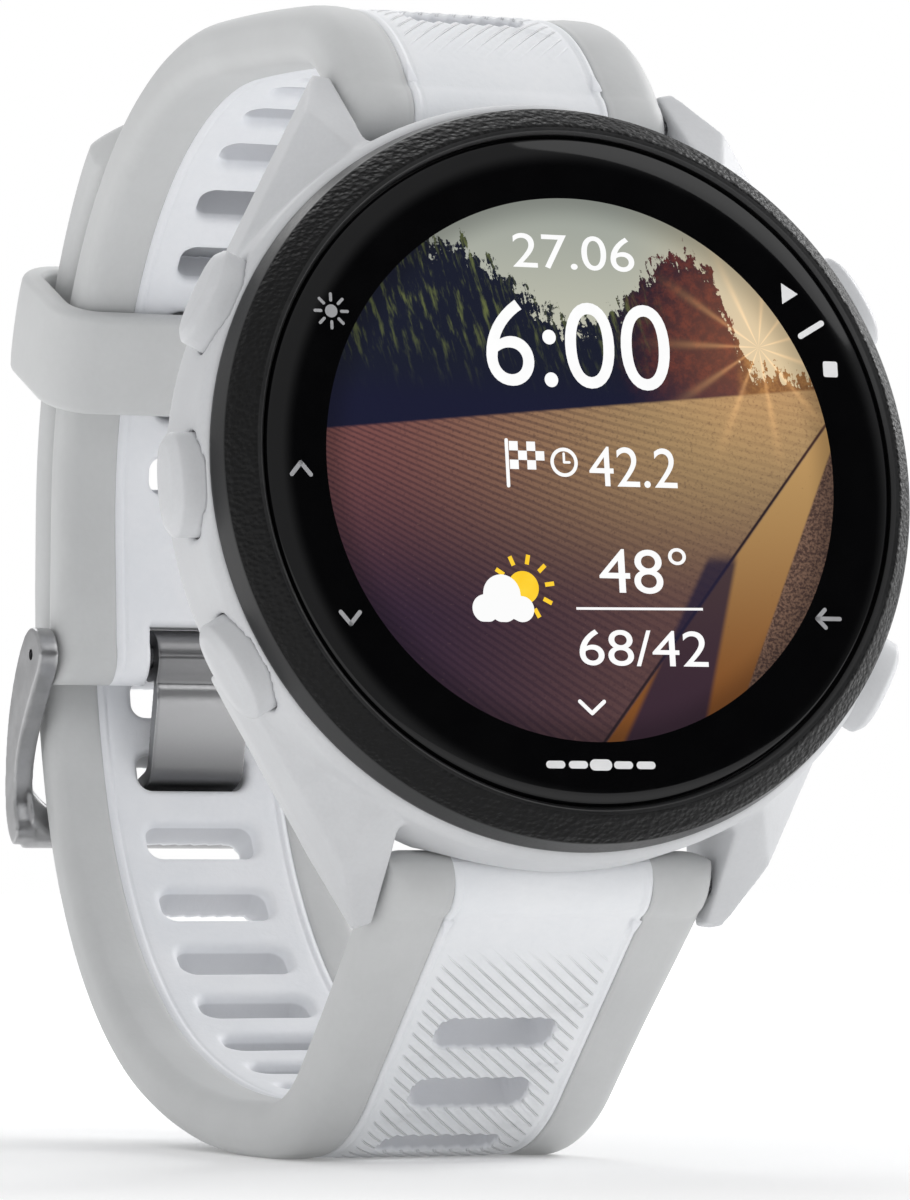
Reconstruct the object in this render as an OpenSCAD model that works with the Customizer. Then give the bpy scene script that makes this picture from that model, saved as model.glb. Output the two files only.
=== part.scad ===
// Running watch with a round case, five side buttons and a two-colour silicone
// strap, stored closed on its buckle and standing on the bottom of the strap.
// Millimetres. +X points to 3 o'clock, +Y away from the dial, +Z up.
// The origin is the middle of the small flat that the strap rests on.

/* [Case] */
// Tilt of the dial back from upright, degrees
dial_tilt = 7.6; // [0:0.1:20]
// Distance of the dial centre in front of the rest flat
dial_out = 26.3; // [20:0.1:34]
// Height of the dial centre above the floor
dial_up = 38.6; // [34:0.1:44]
// Outer radius of the case
case_r = 21.5; // [20:0.1:24]
// Depth of the case back behind the display face
case_back = 10.1; // [8:0.1:13]
// Depth of the case front rim behind the display face
case_front = 2.0; // [1:0.1:3]
// Inner radius of the case cavity
cavity_r = 19.3; // [17:0.1:20]
// Radius of the cover glass
glass_r = 18.8; // [16:0.1:19.5]
// Thickness of the cover glass
glass_t = 0.8; // [0.5:0.1:1.5]
// Outer radius of the bezel at its foot
bezel_r = 20.95; // [20:0.05:21.4]

/* [Buttons] */
// Angles of the five buttons round the dial, from 3 o'clock
button_angles = [153.5, 181.5, 209, -30, 30]; // [-180:0.5:360]
// Depth of the button axes behind the display face
button_z = 4.0; // [3:0.1:6]
// Length of a button cap along the case
cap_l = 5.6; // [4:0.1:8]
// Height of a button cap
cap_h = 3.3; // [2:0.1:4]
// How far a button cap stands out of the case
cap_out = 1.5; // [0.8:0.1:2.5]
// Radius of a button stem
stem_r = 0.9; // [0.5:0.05:1.5]

/* [Lugs and spring bars] */
// Distance of each spring bar from the dial centre
bar_u = 21.9; // [20:0.1:24]
// Depth of the spring bars behind the display face
bar_n = 8.0; // [6:0.1:10]
// Half of the gap between the lugs
lug_half = 10.15; // [9:0.05:12]
// Radius of the spring bar tube
bar_r = 0.9; // [0.6:0.05:1.2]
// Radius of the spring bar end pins
bar_pin_r = 0.45; // [0.3:0.05:0.8]

/* [Strap] */
// Thickness of the strap
strap_t = 3.3; // [2:0.1:4.5]
// Half of the width of the strap
strap_half = 9.6; // [8:0.1:11]
// Half of the width of the strap's core
core_half = 6.0; // [4:0.1:8]
// Radius of the strap end round the spring bar
barrel_r = 1.9; // [1.5:0.05:2.6]
// Length of the long strap
long_len = 118; // [100:1:130]
// Spacing of the slots along the strap
slot_pitch = 5.08; // [4:0.01:7]
// Width of a slot across the strap
slot_w = 7.3; // [4:0.1:9]
// Length of a slot along the strap
slot_l = 2.5; // [1.5:0.1:3.5]
// Number of slots in the long strap
long_slots = 19; // [10:1:20]
// Number of slots in the short strap
short_slots = 12; // [4:1:12]

/* [Buckle and keeper] */
// Radius of the buckle pin
pin_r = 0.75; // [0.5:0.05:1.2]
// Half of the inner width of the buckle frame
frame_half = 9.9; // [9.5:0.05:11]
// Thickness of the buckle frame's arms
arm_t = 1.3; // [0.8:0.1:2]
// Width of the tongue plate
tongue_w = 6.3; // [3:0.1:7]
// Thickness of the tongue plate
tongue_t = 0.9; // [0.5:0.1:1.2]
// Angle of the keeper above the loop's centre, degrees
keeper_at = 23.4; // [10:1:40]
// Width of the keeper along the strap
keeper_w = 6.6; // [4:0.1:9]
// Wall thickness of the keeper
keeper_t = 1.4; // [0.8:0.1:2]

/* [Hidden] */
$fn = 48;
eps = 0.02;
sn = sin(dial_tilt);
cs = cos(dial_tilt);
// spring bar centres in the side plane, upper then lower
up_y = bar_u * sn + bar_n * cs - dial_out;
up_z = bar_u * cs - bar_n * sn + dial_up;
lo_y = -bar_u * sn + bar_n * cs - dial_out;
lo_z = -bar_u * cs - bar_n * sn + dial_up;
// arcs of the strap mid-lines: [radius, turn], or [length, 0] when straight
short_start = [up_y, up_z, 62.4];
short_segs = [[10.46, -56.4], [203, -4], [26.4, -93.5], [8.2, 0]];
long_start = [lo_y, lo_z, -43];
long_segs = [[16.44, 0], [11.05, 43], [3.66, 0], [51.3, 18], [28.3, 52], [42.3, 20], [3.54, 0],
    [30.45, 60]];
// centre of the arcs under the keeper
loop_c = beside(walk(short_start, short_segs, path_len([short_segs[0], short_segs[1]])),
    -short_segs[2][0]);
short_len = path_len(short_segs);
pin_at = walk(short_start, short_segs, short_len);
slot_first = 10.6;
slot_corner = 0.9;
short_slot_first = 8.22;
tail_r = 30.45;

function seg_len(g) = g[1] == 0 ? g[0] : g[0] * abs(g[1]) * PI / 180;
function path_len(segs, i = 0) = i >= len(segs) ? 0 : seg_len(segs[i]) + path_len(segs, i + 1);
function go(p, g, s) = g[1] == 0 ? [p[0] + s * cos(p[2]), p[1] + s * sin(p[2]), p[2]] :
    let (d = s / g[0] * 180 / PI * sign(g[1]), c = 2 * g[0] * sin(abs(d) / 2))
    [p[0] + c * cos(p[2] + d / 2), p[1] + c * sin(p[2] + d / 2), p[2] + d];
function walk(p, segs, s, i = 0) = let (l = seg_len(segs[i]))
    s <= l || i == len(segs) - 1 ? go(p, segs[i], s) : walk(go(p, segs[i], l), segs, s - l, i + 1);
function beside(p, d) = [p[0] - d * sin(p[2]), p[1] + d * cos(p[2])];
function long_at(s) = walk(long_start, long_segs, s);
function short_at(s) = walk(short_start, short_segs, s);

// dial coordinates: x to 3 o'clock, y to 12 o'clock, z out of the glass
module dial() {
    translate([0, -dial_out, dial_up])
    rotate([90 - dial_tilt, 0, 0])
    children();
}

// a side outline drawn in Y and Z, as thick as w, centred on X = x
module side(w, x = 0) {
    translate([x - w / 2, 0, 0])
    rotate([90, 0, 90])
    linear_extrude(height = w)
    children();
}

// places children at a strap position: x across, y along, z out of the surface
module on_path(p) {
    translate([0, p[0], p[1]])
    rotate([p[2], 0, 0])
    children();
}

module stadium(l, w) {
    square([l - w, w], center = true);
    translate([(l - w) / 2, 0])
    circle(d = w);
    translate([-(l - w) / 2, 0])
    circle(d = w);
}

// places children with z pointing out of the case at a button
module at_button(a) {
    dial()
    rotate([0, 0, a])
    translate([0, 0, -button_z])
    rotate([0, 90, 0])
    rotate([0, 0, 90])
    children();
}

// ---------------------------------------------------------------- case
module lug_prism() {
    // plan outline cut with the side outline, and a bevel along the outer edge
    intersection() {
        translate([0, 0, -12])
        linear_extrude(height = 12)
        polygon([[lug_half, 13], [lug_half, 24.0], [11.3, 24.25], [18.9, 10.3], [14, 8]]);
        rotate([90, 0, 90])
        linear_extrude(height = 24)
        polygon([[6, -2.0], [17.6, -2.0], [24.3, -8.6], [24.1, -9.9], [20.2, -10.6], [6, -10.0]]);
        rotate([0, 0, 28.6])
        rotate([90, 0, 0])
        linear_extrude(height = 60, center = true)
        polygon([[0, -12], [20.6, -12], [21.48, -8.2], [21.48, -5.6], [17.9, -1.9], [0, -1.9]]);
    }
}

module case_solid() {
    rotate_extrude($fn = 120)
    polygon([[17.5, -case_front], [bezel_r + 0.1, -case_front], [case_r, -case_front - 0.6],
        [case_r, -7.4], [case_r - 0.7, -8.8], [19.6, -case_back], [16.4, -case_back], [16.4, -8.4],
        [cavity_r, -8.4], [cavity_r, -2.45], [17.5, -2.45]]);
    // screw posts joined to the wall
    for (a = [45, 135, 225, 315])
        rotate([0, 0, a]) {
            translate([14.6, 0, -8.65])
            cylinder(r = 1.5, h = 3.6);
            translate([14.6, -0.9, -8.65])
            cube([5, 1.8, 3.6]);
        }
    for (m = [0, 1])
        mirror([m, 0, 0])
        for (k = [0, 1])
            mirror([0, k, 0])
            difference() {
                lug_prism();
                translate([0, 0, -13])
                cylinder(r = cavity_r + 0.7, h = 12, $fn = 120);
            }
}

module case_body() {
    color([0.80, 0.81, 0.82])
    difference() {
        dial()
        case_solid();
        // seat of the back cover
        dial()
        translate([0, 0, -case_back - 0.1])
        cylinder(r = 17.45, h = 1.15, $fn = 120);
        // groove for the back gasket and the screws' holes
        dial()
        translate([0, 0, -9.2])
        difference() {
            cylinder(r = 17.15, h = 0.45, $fn = 96);
            translate([0, 0, -1])
            cylinder(r = 16.75, h = 3, $fn = 96);
        }
        dial()
        for (a = [45, 135, 225, 315])
            rotate([0, 0, a])
            translate([14.6, 0, -9])
            cylinder(r = 0.6, h = 3);
        // button pockets and stem bores
        for (a = button_angles) {
            at_button(a)
            translate([0, 0, case_r - 0.95])
            linear_extrude(height = 3)
            stadium(cap_l + 0.4, cap_h + 0.4);
            at_button(a)
            translate([0, 0, 15])
            cylinder(r = stem_r + 0.05, h = 8);
            at_button(a)
            translate([0, 0, case_r - 1.75])
            cylinder(r = 1.45, h = 2);
        }
        // hollow between the lugs for the round ends of the strap
        for (k = [-1, 1])
            dial()
            translate([0, k * bar_u, -bar_n])
            rotate([0, 90, 0])
            cylinder(r = barrel_r + 0.15, h = 2 * lug_half - 0.02, center = true);
        // spring bar holes in the lugs
        for (k = [-1, 1])
            dial()
            translate([0, k * bar_u, -bar_n])
            rotate([0, 90, 0])
            cylinder(r = bar_pin_r + 0.06, h = 23.2, center = true);
        // sound slots in the case wall at 3 o'clock side
        for (k = [-1, 0, 1])
            dial()
            translate([case_r - 1, k * 1.7, -6.1])
            cube([6, 0.9, 0.5], center = true);
    }
}

module bezel_ring() {
    color([0.05, 0.05, 0.055])
    dial()
    rotate_extrude($fn = 160)
    polygon([[18.9, 0.0], [18.9, 0.72], [19.05, 0.95], [19.3, 0.98], [20.35, -0.05], [20.6, -0.4],
        [bezel_r, -1.75], [bezel_r, -case_front + eps], [17.45, -case_front + eps],
        [17.45, -1.35], [18.6, -1.35], [18.6, 0.0]]);
}

module lens_glass() {
    color([0.02, 0.02, 0.025, 0.5])
    dial()
    cylinder(r = glass_r, h = glass_t, $fn = 120);
}

module lens_gasket() {
    color([0.1, 0.1, 0.1])
    dial()
    translate([0, 0, -1.3])
    difference() {
        cylinder(r = 18.5, h = 1.25, $fn = 96);
        translate([0, 0, -0.1])
        cylinder(r = 17.5, h = 1.5, $fn = 96);
    }
}

module display_panel() {
    color([0.08, 0.09, 0.12])
    dial()
    translate([0, 0, -1.15]) {
        cylinder(r = 17.3, h = 1.1, $fn = 96);
        translate([0, -14.5, -0.35])
        cube([9, 4, 0.7], center = true);
    }
}

// ---------------------------------------------------------------- inside
module mid_frame() {
    color([0.15, 0.15, 0.16])
    dial()
    translate([0, 0, -3.0])
    difference() {
        cylinder(r = 17.2, h = 0.9, $fn = 96);
        translate([0, 0, -0.5])
        cylinder(r = 12.5, h = 2, $fn = 96);
        translate([0, -14.5, 0.8])
        cube([10, 5, 1.0], center = true);
    }
}

module main_board() {
    color([0.05, 0.25, 0.14])
    dial()
    translate([0, 0, -4.0])
    difference() {
        cylinder(r = 14.5, h = 0.8, $fn = 96);
        translate([0, 13, -0.5])
        cylinder(r = 0.9, h = 2);
    }
}

module board_chips() {
    color([0.07, 0.07, 0.08])
    dial() {
        translate([-6, 3, -4.62])
        cube([7, 7, 1.2], center = true);
        translate([4, 6, -4.52])
        cube([5, 4, 1.0], center = true);
        translate([8, -2, -4.47])
        cube([3, 3, 0.9], center = true);
        translate([-9, -6, -4.47])
        cube([3.5, 2.5, 0.9], center = true);
    }
}

module shield_can() {
    color([0.75, 0.76, 0.78])
    dial()
    translate([0, 0, -3.15])
    difference() {
        translate([-5, -7, 0])
        cube([11, 13, 1.9]);
        translate([-4.8, -6.8, -0.1])
        cube([10.6, 12.6, 1.8]);
    }
}

module battery() {
    color([0.55, 0.57, 0.6])
    dial()
    translate([-8.5, -3.4, -8.7])
    cube([17, 15, 3.3]);
}

module battery_flex() {
    color([0.85, 0.5, 0.15])
    dial() {
        translate([-2, 11.65, -8.4])
        cube([4, 0.5, 4.3]);
    }
}

module vibration_motor() {
    color([0.7, 0.71, 0.73])
    dial()
    translate([-13.2, 0, -6.6])
    rotate([-90, 0, 0])
    difference() {
        cylinder(r = 1.7, h = 6.0);
        translate([0, 0, 1])
        cylinder(r = 0.33, h = 6);
    }
}

module motor_weight() {
    color([0.62, 0.6, 0.55])
    dial()
    translate([-13.2, 0, -6.6])
    rotate([-90, 0, 0]) {
        translate([0, 0, 1.5])
        cylinder(r = 0.28, h = 7.7);
        translate([0, 0, 6.4])
        intersection() {
            cylinder(r = 1.6, h = 2.6);
            translate([-2, -0.28, 0])
            cube([4, 4, 4]);
        }
    }
}

module piezo_buzzer() {
    color([0.8, 0.68, 0.35])
    dial()
    translate([12.5, -3.2, -8.3])
    cylinder(r = 3.6, h = 1.2);
}

module gps_antenna() {
    color([0.82, 0.72, 0.5])
    dial() {
        translate([0, 0, -2.07])
        difference() {
            cylinder(r = 17.1, h = 0.25, $fn = 96);
            translate([0, 0, -1])
            cylinder(r = 16.1, h = 3, $fn = 96);
            translate([0, -17, 0])
            cube([16, 8, 3], center = true);
        }
    }
}

module side_switches() {
    color([0.72, 0.72, 0.7])
    for (a = button_angles)
        at_button(a)
        translate([0, 0, 15.6])
        union() {
            translate([-1.9, -0.7, -0.9])
            cube([3.8, 1.4, 1.0]);
            translate([0, 0, 0.05])
            cylinder(r = 0.6, h = 0.7);
        }
}

// ---------------------------------------------------------------- back
module back_cover() {
    color([0.14, 0.14, 0.15])
    dial()
    difference() {
        union() {
            translate([0, 0, -case_back])
            cylinder(r = 17.35, h = 1.0, $fn = 120);
            translate([0, 0, -case_back + 0.9])
            cylinder(r = 16.2, h = 0.5, $fn = 96);
        }
        // sensor well
        translate([0, 0, -12])
        cylinder(r = 6.05, h = 5, $fn = 72);
        // charging socket
        translate([0, -12.4, -case_back - 0.5])
        linear_extrude(height = 1.3)
        stadium(8.4, 3.4);
        for (k = [-1.5, -0.5, 0.5, 1.5])
            translate([k * 1.6, -12.4, -12])
            cylinder(r = 0.46, h = 6);
        // screw holes with counterbores
        for (a = [45, 135, 225, 315])
            rotate([0, 0, a])
            translate([14.6, 0, -12]) {
                cylinder(r = 0.62, h = 6);
                cylinder(r = 1.22, h = 2.5);
            }
    }
}

module back_gasket() {
    color([0.1, 0.1, 0.1])
    dial()
    translate([0, 0, -9.08])
    difference() {
        cylinder(r = 17.12, h = 0.3, $fn = 96);
        translate([0, 0, -1])
        cylinder(r = 16.78, h = 3, $fn = 96);
    }
}

module back_screws() {
    color([0.3, 0.3, 0.32])
    dial()
    for (a = [45, 135, 225, 315])
        rotate([0, 0, a])
        translate([14.6, 0, -case_back])
        difference() {
            union() {
                translate([0, 0, 0.05])
                cylinder(r = 1.15, h = 0.5);
                translate([0, 0, 0.05])
                cylinder(r = 0.55, h = 2.6);
            }
            for (k = [0, 60, 120])
                rotate([0, 0, k])
                cube([1.2, 0.36, 0.7], center = true);
        }
}

module sensor_window() {
    color([0.03, 0.03, 0.035])
    dial()
    difference() {
        union() {
            translate([0, 0, -10.45])
            cylinder(r1 = 5.2, r2 = 6.0, h = 0.4, $fn = 72);
            translate([0, 0, -10.05])
            cylinder(r = 6.0, h = 1.35, $fn = 72);
        }
        translate([0, 0, -9.6])
        cylinder(r = 5.0, h = 3, $fn = 72);
    }
}

module sensor_board() {
    color([0.06, 0.2, 0.12])
    dial()
    translate([0, 0, -9.1])
    cylinder(r = 4.9, h = 0.35, $fn = 72);
}

module sensor_leds() {
    color([0.45, 0.9, 0.5])
    dial()
    for (p = [[0, 3.2], [-2.8, -1.6], [2.8, -1.6], [0, 0]])
        translate([p[0], p[1], -9.33])
        cube([1.5, 1.1, 0.44], center = true);
}

module charge_contacts() {
    color([0.85, 0.7, 0.35])
    dial()
    for (k = [-1.5, -0.5, 0.5, 1.5])
        translate([k * 1.6, -12.4, -9.4])
        cylinder(r = 0.42, h = 0.8);
}

// ---------------------------------------------------------------- buttons
// a flat-topped cap with a bevel all round, straight sides below it
module cap_solid() {
    d = (cap_l - cap_h) / 2;
    r = cap_h / 2;
    linear_extrude(height = cap_out - 0.35)
    stadium(cap_l, cap_h);
    translate([0, 0, cap_out - 0.35]) {
        for (k = [-1, 1])
            translate([k * d, 0, 0])
            cylinder(r1 = r, r2 = r - 0.55, h = 0.55);
        rotate([90, 0, 90])
        linear_extrude(height = 2 * d, center = true)
        polygon([[-r, 0], [r, 0], [r - 0.55, 0.55], [0.55 - r, 0.55]]);
    }
}

module cap_with_stem(a) {
    at_button(a)
    translate([0, 0, case_r - 0.2]) {
        cap_solid();
        translate([0, 0, -4.2])
        difference() {
            cylinder(r = stem_r, h = 4.3);
            // groove for the clip
            translate([0, 0, 1.75])
            difference() {
                cylinder(r = 2, h = 0.35);
                translate([0, 0, -1])
                cylinder(r = 0.6, h = 3);
            }
        }
    }
}

module button_light() {
    color([0.80, 0.81, 0.82])
    cap_with_stem(button_angles[0]);
}

module button_up() {
    color([0.80, 0.81, 0.82])
    cap_with_stem(button_angles[1]);
}

module button_down() {
    color([0.80, 0.81, 0.82])
    cap_with_stem(button_angles[2]);
}

module button_back() {
    color([0.80, 0.81, 0.82])
    cap_with_stem(button_angles[3]);
}

module button_start() {
    color([0.80, 0.81, 0.82])
    cap_with_stem(button_angles[4]);
}

module stem_clip(a) {
    color([0.6, 0.61, 0.62])
    at_button(a)
    translate([0, 0, case_r - 2.62])
    difference() {
        cylinder(r = 1.5, h = 0.26);
        translate([0, 0, -1])
        cylinder(r = 0.64, h = 3);
        translate([1.2, 0, 0])
        cube([2, 0.9, 2], center = true);
    }
}

module clip_light() {
    stem_clip(button_angles[0]);
}

module clip_up() {
    stem_clip(button_angles[1]);
}

module clip_down() {
    stem_clip(button_angles[2]);
}

module clip_back() {
    stem_clip(button_angles[3]);
}

module clip_start() {
    stem_clip(button_angles[4]);
}

module button_seals() {
    color([0.12, 0.12, 0.12])
    for (a = button_angles)
        at_button(a)
        translate([0, 0, case_r - 1.72])
        difference() {
            cylinder(r = 1.4, h = 0.6);
            translate([0, 0, -1])
            cylinder(r = stem_r + 0.04, h = 3);
        }
}

// ---------------------------------------------------------------- spring bars
module bar_tube(y, z) {
    translate([0, y, z])
    rotate([0, 90, 0])
    difference() {
        union() {
            translate([0, 0, -9.4])
            cylinder(r = bar_r, h = 18.6);
            translate([0, 0, -11.2])
            cylinder(r = bar_pin_r, h = 1.9);
        }
        // bore for the sliding pin and its spring
        translate([0, 0, 1.5])
        cylinder(r = 0.62, h = 8);
        // slot that the release lever moves in
        translate([0, 1.0, 6.7])
        cube([0.9, 2, 3.0], center = true);
    }
}

module bar_upper() {
    color([0.6, 0.6, 0.62])
    bar_tube(up_y, up_z);
}

module bar_lower() {
    color([0.6, 0.6, 0.62])
    bar_tube(lo_y, lo_z);
}

module bar_pin(y, z) {
    translate([0, y, z])
    rotate([0, 90, 0]) {
        translate([0, 0, 4.6])
        cylinder(r = 0.56, h = 4.5);
        translate([0, 0, 9.0])
        cylinder(r = bar_pin_r, h = 2.2);
        translate([0, 0, 7.2])
        rotate([-90, 0, 0])
        cylinder(r = 0.35, h = 2.6, $fn = 24);
        translate([0, 2.6, 7.2])
        sphere(r = 0.55, $fn = 24);
    }
}

module pin_upper() {
    color([0.7, 0.7, 0.72])
    bar_pin(up_y, up_z);
}

module pin_lower() {
    color([0.7, 0.7, 0.72])
    bar_pin(lo_y, lo_z);
}

module bar_spring(y, z) {
    translate([0, y, z])
    rotate([0, 90, 0])
    for (k = [0:5])
        translate([0, 0, 1.7 + k * 0.5])
        rotate_extrude($fn = 24)
        translate([0.44, 0])
        circle(r = 0.12, $fn = 16);
}

module spring_upper() {
    color([0.65, 0.65, 0.66])
    bar_spring(up_y, up_z);
}

module spring_lower() {
    color([0.65, 0.65, 0.66])
    bar_spring(lo_y, lo_z);
}

// ---------------------------------------------------------------- strap
// side outline of a strap: points along one face and back along the other
module strap_outline(long) {
    n = long ? 110 : 72;
    total = long ? long_len : short_len;
    out = long ? -1 : 1;
    first = 0;
    faces = [for (i = [0:n]) let (s = first + (total - first) * i / n,
        p = long ? long_at(s) : short_at(s),
        tip = long ? max(0, (s - total + 7) / 7) : 0,
        grow = long ? 0 : 0.12 * max(0, min(1, (s - total + 7) / 5)))
        [beside(p, out * (strap_t / 2 + grow - 1.5 * tip * tip)),
            beside(p, -out * (strap_t / 2 + grow))]];
    polygon(concat([for (i = [0:n]) faces[i][0]], [for (i = [n:-1:0]) faces[i][1]]));
}

// a length of strap between two sides, with the round ends for bar and pin
module strap_body(long, x0, x1) {
    start = long ? long_start : short_start;
    side(x1 - x0, (x0 + x1) / 2)
    strap_outline(long);
    translate([x0, start[0], start[1]])
    rotate([0, 90, 0])
    cylinder(r = barrel_r, h = x1 - x0);
    if (!long)
        translate([x0, pin_at[0], pin_at[1]])
        rotate([0, 90, 0])
        cylinder(r = barrel_r, h = x1 - x0);
}

// everything that is cut out of both the edge and the core of a strap
module strap_cuts(long) {
    start = long ? long_start : short_start;
    translate([0, start[0], start[1]])
    rotate([0, 90, 0])
    cylinder(r = bar_r + 0.06, h = 30, center = true);
    // window for the release lever, on the side towards the wrist
    translate([7.0, start[0], start[1]])
    translate([0, 1.9, 0])
    cube([4.4, 3.8, 1.9], center = true);
    if (!long)
        translate([0, pin_at[0], pin_at[1]])
        rotate([0, 90, 0])
        cylinder(r = pin_r + 0.05, h = 30, center = true);
}

// a rectangle with round corners
module slot_shape() {
    a = slot_w / 2 - slot_corner;
    b = slot_l / 2 - slot_corner;
    square([2 * a, slot_l], center = true);
    square([slot_w, 2 * b], center = true);
    for (i = [-1, 1])
        for (k = [-1, 1])
            translate([i * a, k * b])
            circle(r = slot_corner);
}

module slot_cut(p) {
    on_path(p)
    linear_extrude(height = 8, center = true)
    slot_shape();
}

module slot_cuts(long) {
    if (long)
        for (k = [0:long_slots - 1])
            slot_cut(long_at(slot_first + k * slot_pitch));
    if (!long)
        for (k = [0:short_slots - 1])
            slot_cut(short_at(short_slot_first + k * slot_pitch));
}

// notch in the short strap's end that lets the tongue turn on the pin
module tongue_notch() {
    translate([0, pin_at[0], pin_at[1]])
    translate([0, 0, -1.7])
    cube([tongue_w + 0.8, 8, 8.2], center = true);
}

// corners taken off the tip of the long strap
module tip_cut() {
    on_path(long_at(long_len - 8.5))
    difference() {
        translate([-15, 0, -8])
        cube([30, 30, 16]);
        translate([0, -2.6, -9])
        cylinder(r = 11.6, h = 20, $fn = 96);
    }
}

module strap_core(long) {
    difference() {
        strap_body(long, -core_half, core_half);
        strap_cuts(long);
        slot_cuts(long);
        if (!long)
            tongue_notch();
        if (long)
            tip_cut();
    }
}

module strap_edge(long) {
    difference() {
        union() {
            strap_body(long, core_half, strap_half);
            strap_body(long, -strap_half, -core_half);
        }
        strap_cuts(long);
        if (long)
            tip_cut();
    }
}

module upper_strap_core() {
    color([0.95, 0.95, 0.96])
    strap_core(false);
}

module upper_strap_edge() {
    color([0.80, 0.80, 0.79])
    strap_edge(false);
}

module lower_strap_core() {
    color([0.95, 0.95, 0.96])
    strap_core(true);
}

module lower_strap_edge() {
    color([0.80, 0.80, 0.79])
    strap_edge(true);
}

// ---------------------------------------------------------------- keeper
module keeper_outline(grow) {
    // section across the strap: x across, y away from the loop's centre
    lo = short_segs[2][0] - strap_t / 2 - 0.35 - grow;
    hi = tail_r + strap_t / 2 + 0.35 + grow;
    w = strap_half + 0.35 + grow;
    r = 0.7 + grow;
    translate([-w + r, lo + r])
    square([2 * w - 2 * r, hi - lo - 2 * r]);
    translate([-w, lo + r])
    square([2 * w, hi - lo - 2 * r]);
    translate([-w + r, lo])
    square([2 * w - 2 * r, hi - lo]);
    for (i = [-1, 1])
        for (q = [lo + r, hi - r])
            translate([i * (w - r), q])
            circle(r = r);
}

module keeper_loop() {
    color([0.80, 0.80, 0.79])
    translate([0, loop_c[0], loop_c[1]])
    rotate([keeper_at - 90, 0, 0])
    translate([0, keeper_w / 2, 0])
    rotate([90, 0, 0])
    difference() {
        linear_extrude(height = keeper_w)
        keeper_outline(keeper_t);
        translate([0, 0, -1])
        linear_extrude(height = keeper_w + 2)
        keeper_outline(0);
    }
}

// ---------------------------------------------------------------- buckle
bar_c = [pin_at[0] + 3.82, pin_at[1] - 11.0];

module buckle_pin() {
    color([0.42, 0.43, 0.45])
    translate([0, pin_at[0], pin_at[1]])
    rotate([0, 90, 0])
    cylinder(r = pin_r, h = 2 * (frame_half + arm_t) - 0.3, center = true);
}

module arm_outline() {
    py = pin_at[0];
    pz = pin_at[1];
    difference() {
        union() {
            translate([py, pz])
            circle(r = 1.75);
            polygon([[py - 1.5, pz + 0.8], [py - 0.4, pz + 1.6], [py + 1.1, pz + 1.3],
                [py + 2.3, pz + 0.3],
                [py + 3.5, pz - 1.5], [py + 4.5, pz - 3.7], [py + 5.0, pz - 6.2], [py + 5.1, pz - 8.6],
                [py + 4.9, pz - 10.2], [py + 4.3, pz - 11.5], [py + 3.4, pz - 12.1],
                [py + 2.7, pz - 11.7], [py + 2.7, pz - 10.6], [py + 3.3, pz - 9.2],
                [py + 3.1, pz - 7.2], [py + 2.3, pz - 5.6], [py + 1.1, pz - 3.9],
                [py - 0.1, pz - 2.4], [py - 1.4, pz - 1.0]]);
        }
        translate([py, pz])
        circle(r = pin_r + 0.04);
    }
}

module buckle_frame() {
    color([0.42, 0.43, 0.45]) {
        for (k = [-1, 1])
            side(arm_t, k * (frame_half + arm_t / 2))
            arm_outline();
        // far bar, its ends running into the arms
        side(2 * (frame_half + arm_t))
        translate(bar_c)
        rotate(68)
        stadium(2.5, 1.5);
    }
}

module tongue_outline() {
    py = pin_at[0];
    pz = pin_at[1];
    difference() {
        union() {
            translate([py, pz])
            circle(r = pin_r + 0.05 + tongue_t);
            // plate from the wrap to the slot, through it and over the far bar
            polygon([[py - 1.68, pz + 0.2], [py - 1.66, pz - 0.6], [py - 1.45, pz - 2.3],
                [py - 0.95, pz - 4.6],
                [py - 0.5, pz - 6.6], [py - 0.25, pz - 7.5], [py + 0.25, pz - 8.05],
                [py + 3.3, pz - 9.13], [py + 5.2, pz - 9.82], [py + 5.5, pz - 9.5], [py + 5.4, pz - 9.0],
                [py + 3.6, pz - 8.28], [py + 0.75, pz - 7.24], [py + 0.4, pz - 6.6],
                [py - 0.05, pz - 4.4], [py - 0.56, pz - 2.1], [py - 0.7, pz - 0.95]]);
        }
        translate([py, pz])
        circle(r = pin_r + 0.05);
    }
}

module buckle_tongue() {
    color([0.36, 0.37, 0.39])
    side(tongue_w)
    tongue_outline();
}

case_body();
bezel_ring();
lens_glass();
lens_gasket();
display_panel();
mid_frame();
main_board();
board_chips();
shield_can();
battery();
battery_flex();
vibration_motor();
motor_weight();
piezo_buzzer();
gps_antenna();
side_switches();
back_cover();
back_gasket();
back_screws();
sensor_window();
sensor_board();
sensor_leds();
charge_contacts();
button_light();
button_up();
button_down();
button_back();
button_start();
clip_light();
clip_up();
clip_down();
clip_back();
clip_start();
button_seals();
bar_upper();
bar_lower();
pin_upper();
pin_lower();
spring_upper();
spring_lower();
upper_strap_core();
upper_strap_edge();
lower_strap_core();
lower_strap_edge();
keeper_loop();
buckle_pin();
buckle_frame();
buckle_tongue();
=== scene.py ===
import math

import bmesh
import bpy
import numpy as np
from mathutils import Matrix, Vector


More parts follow.
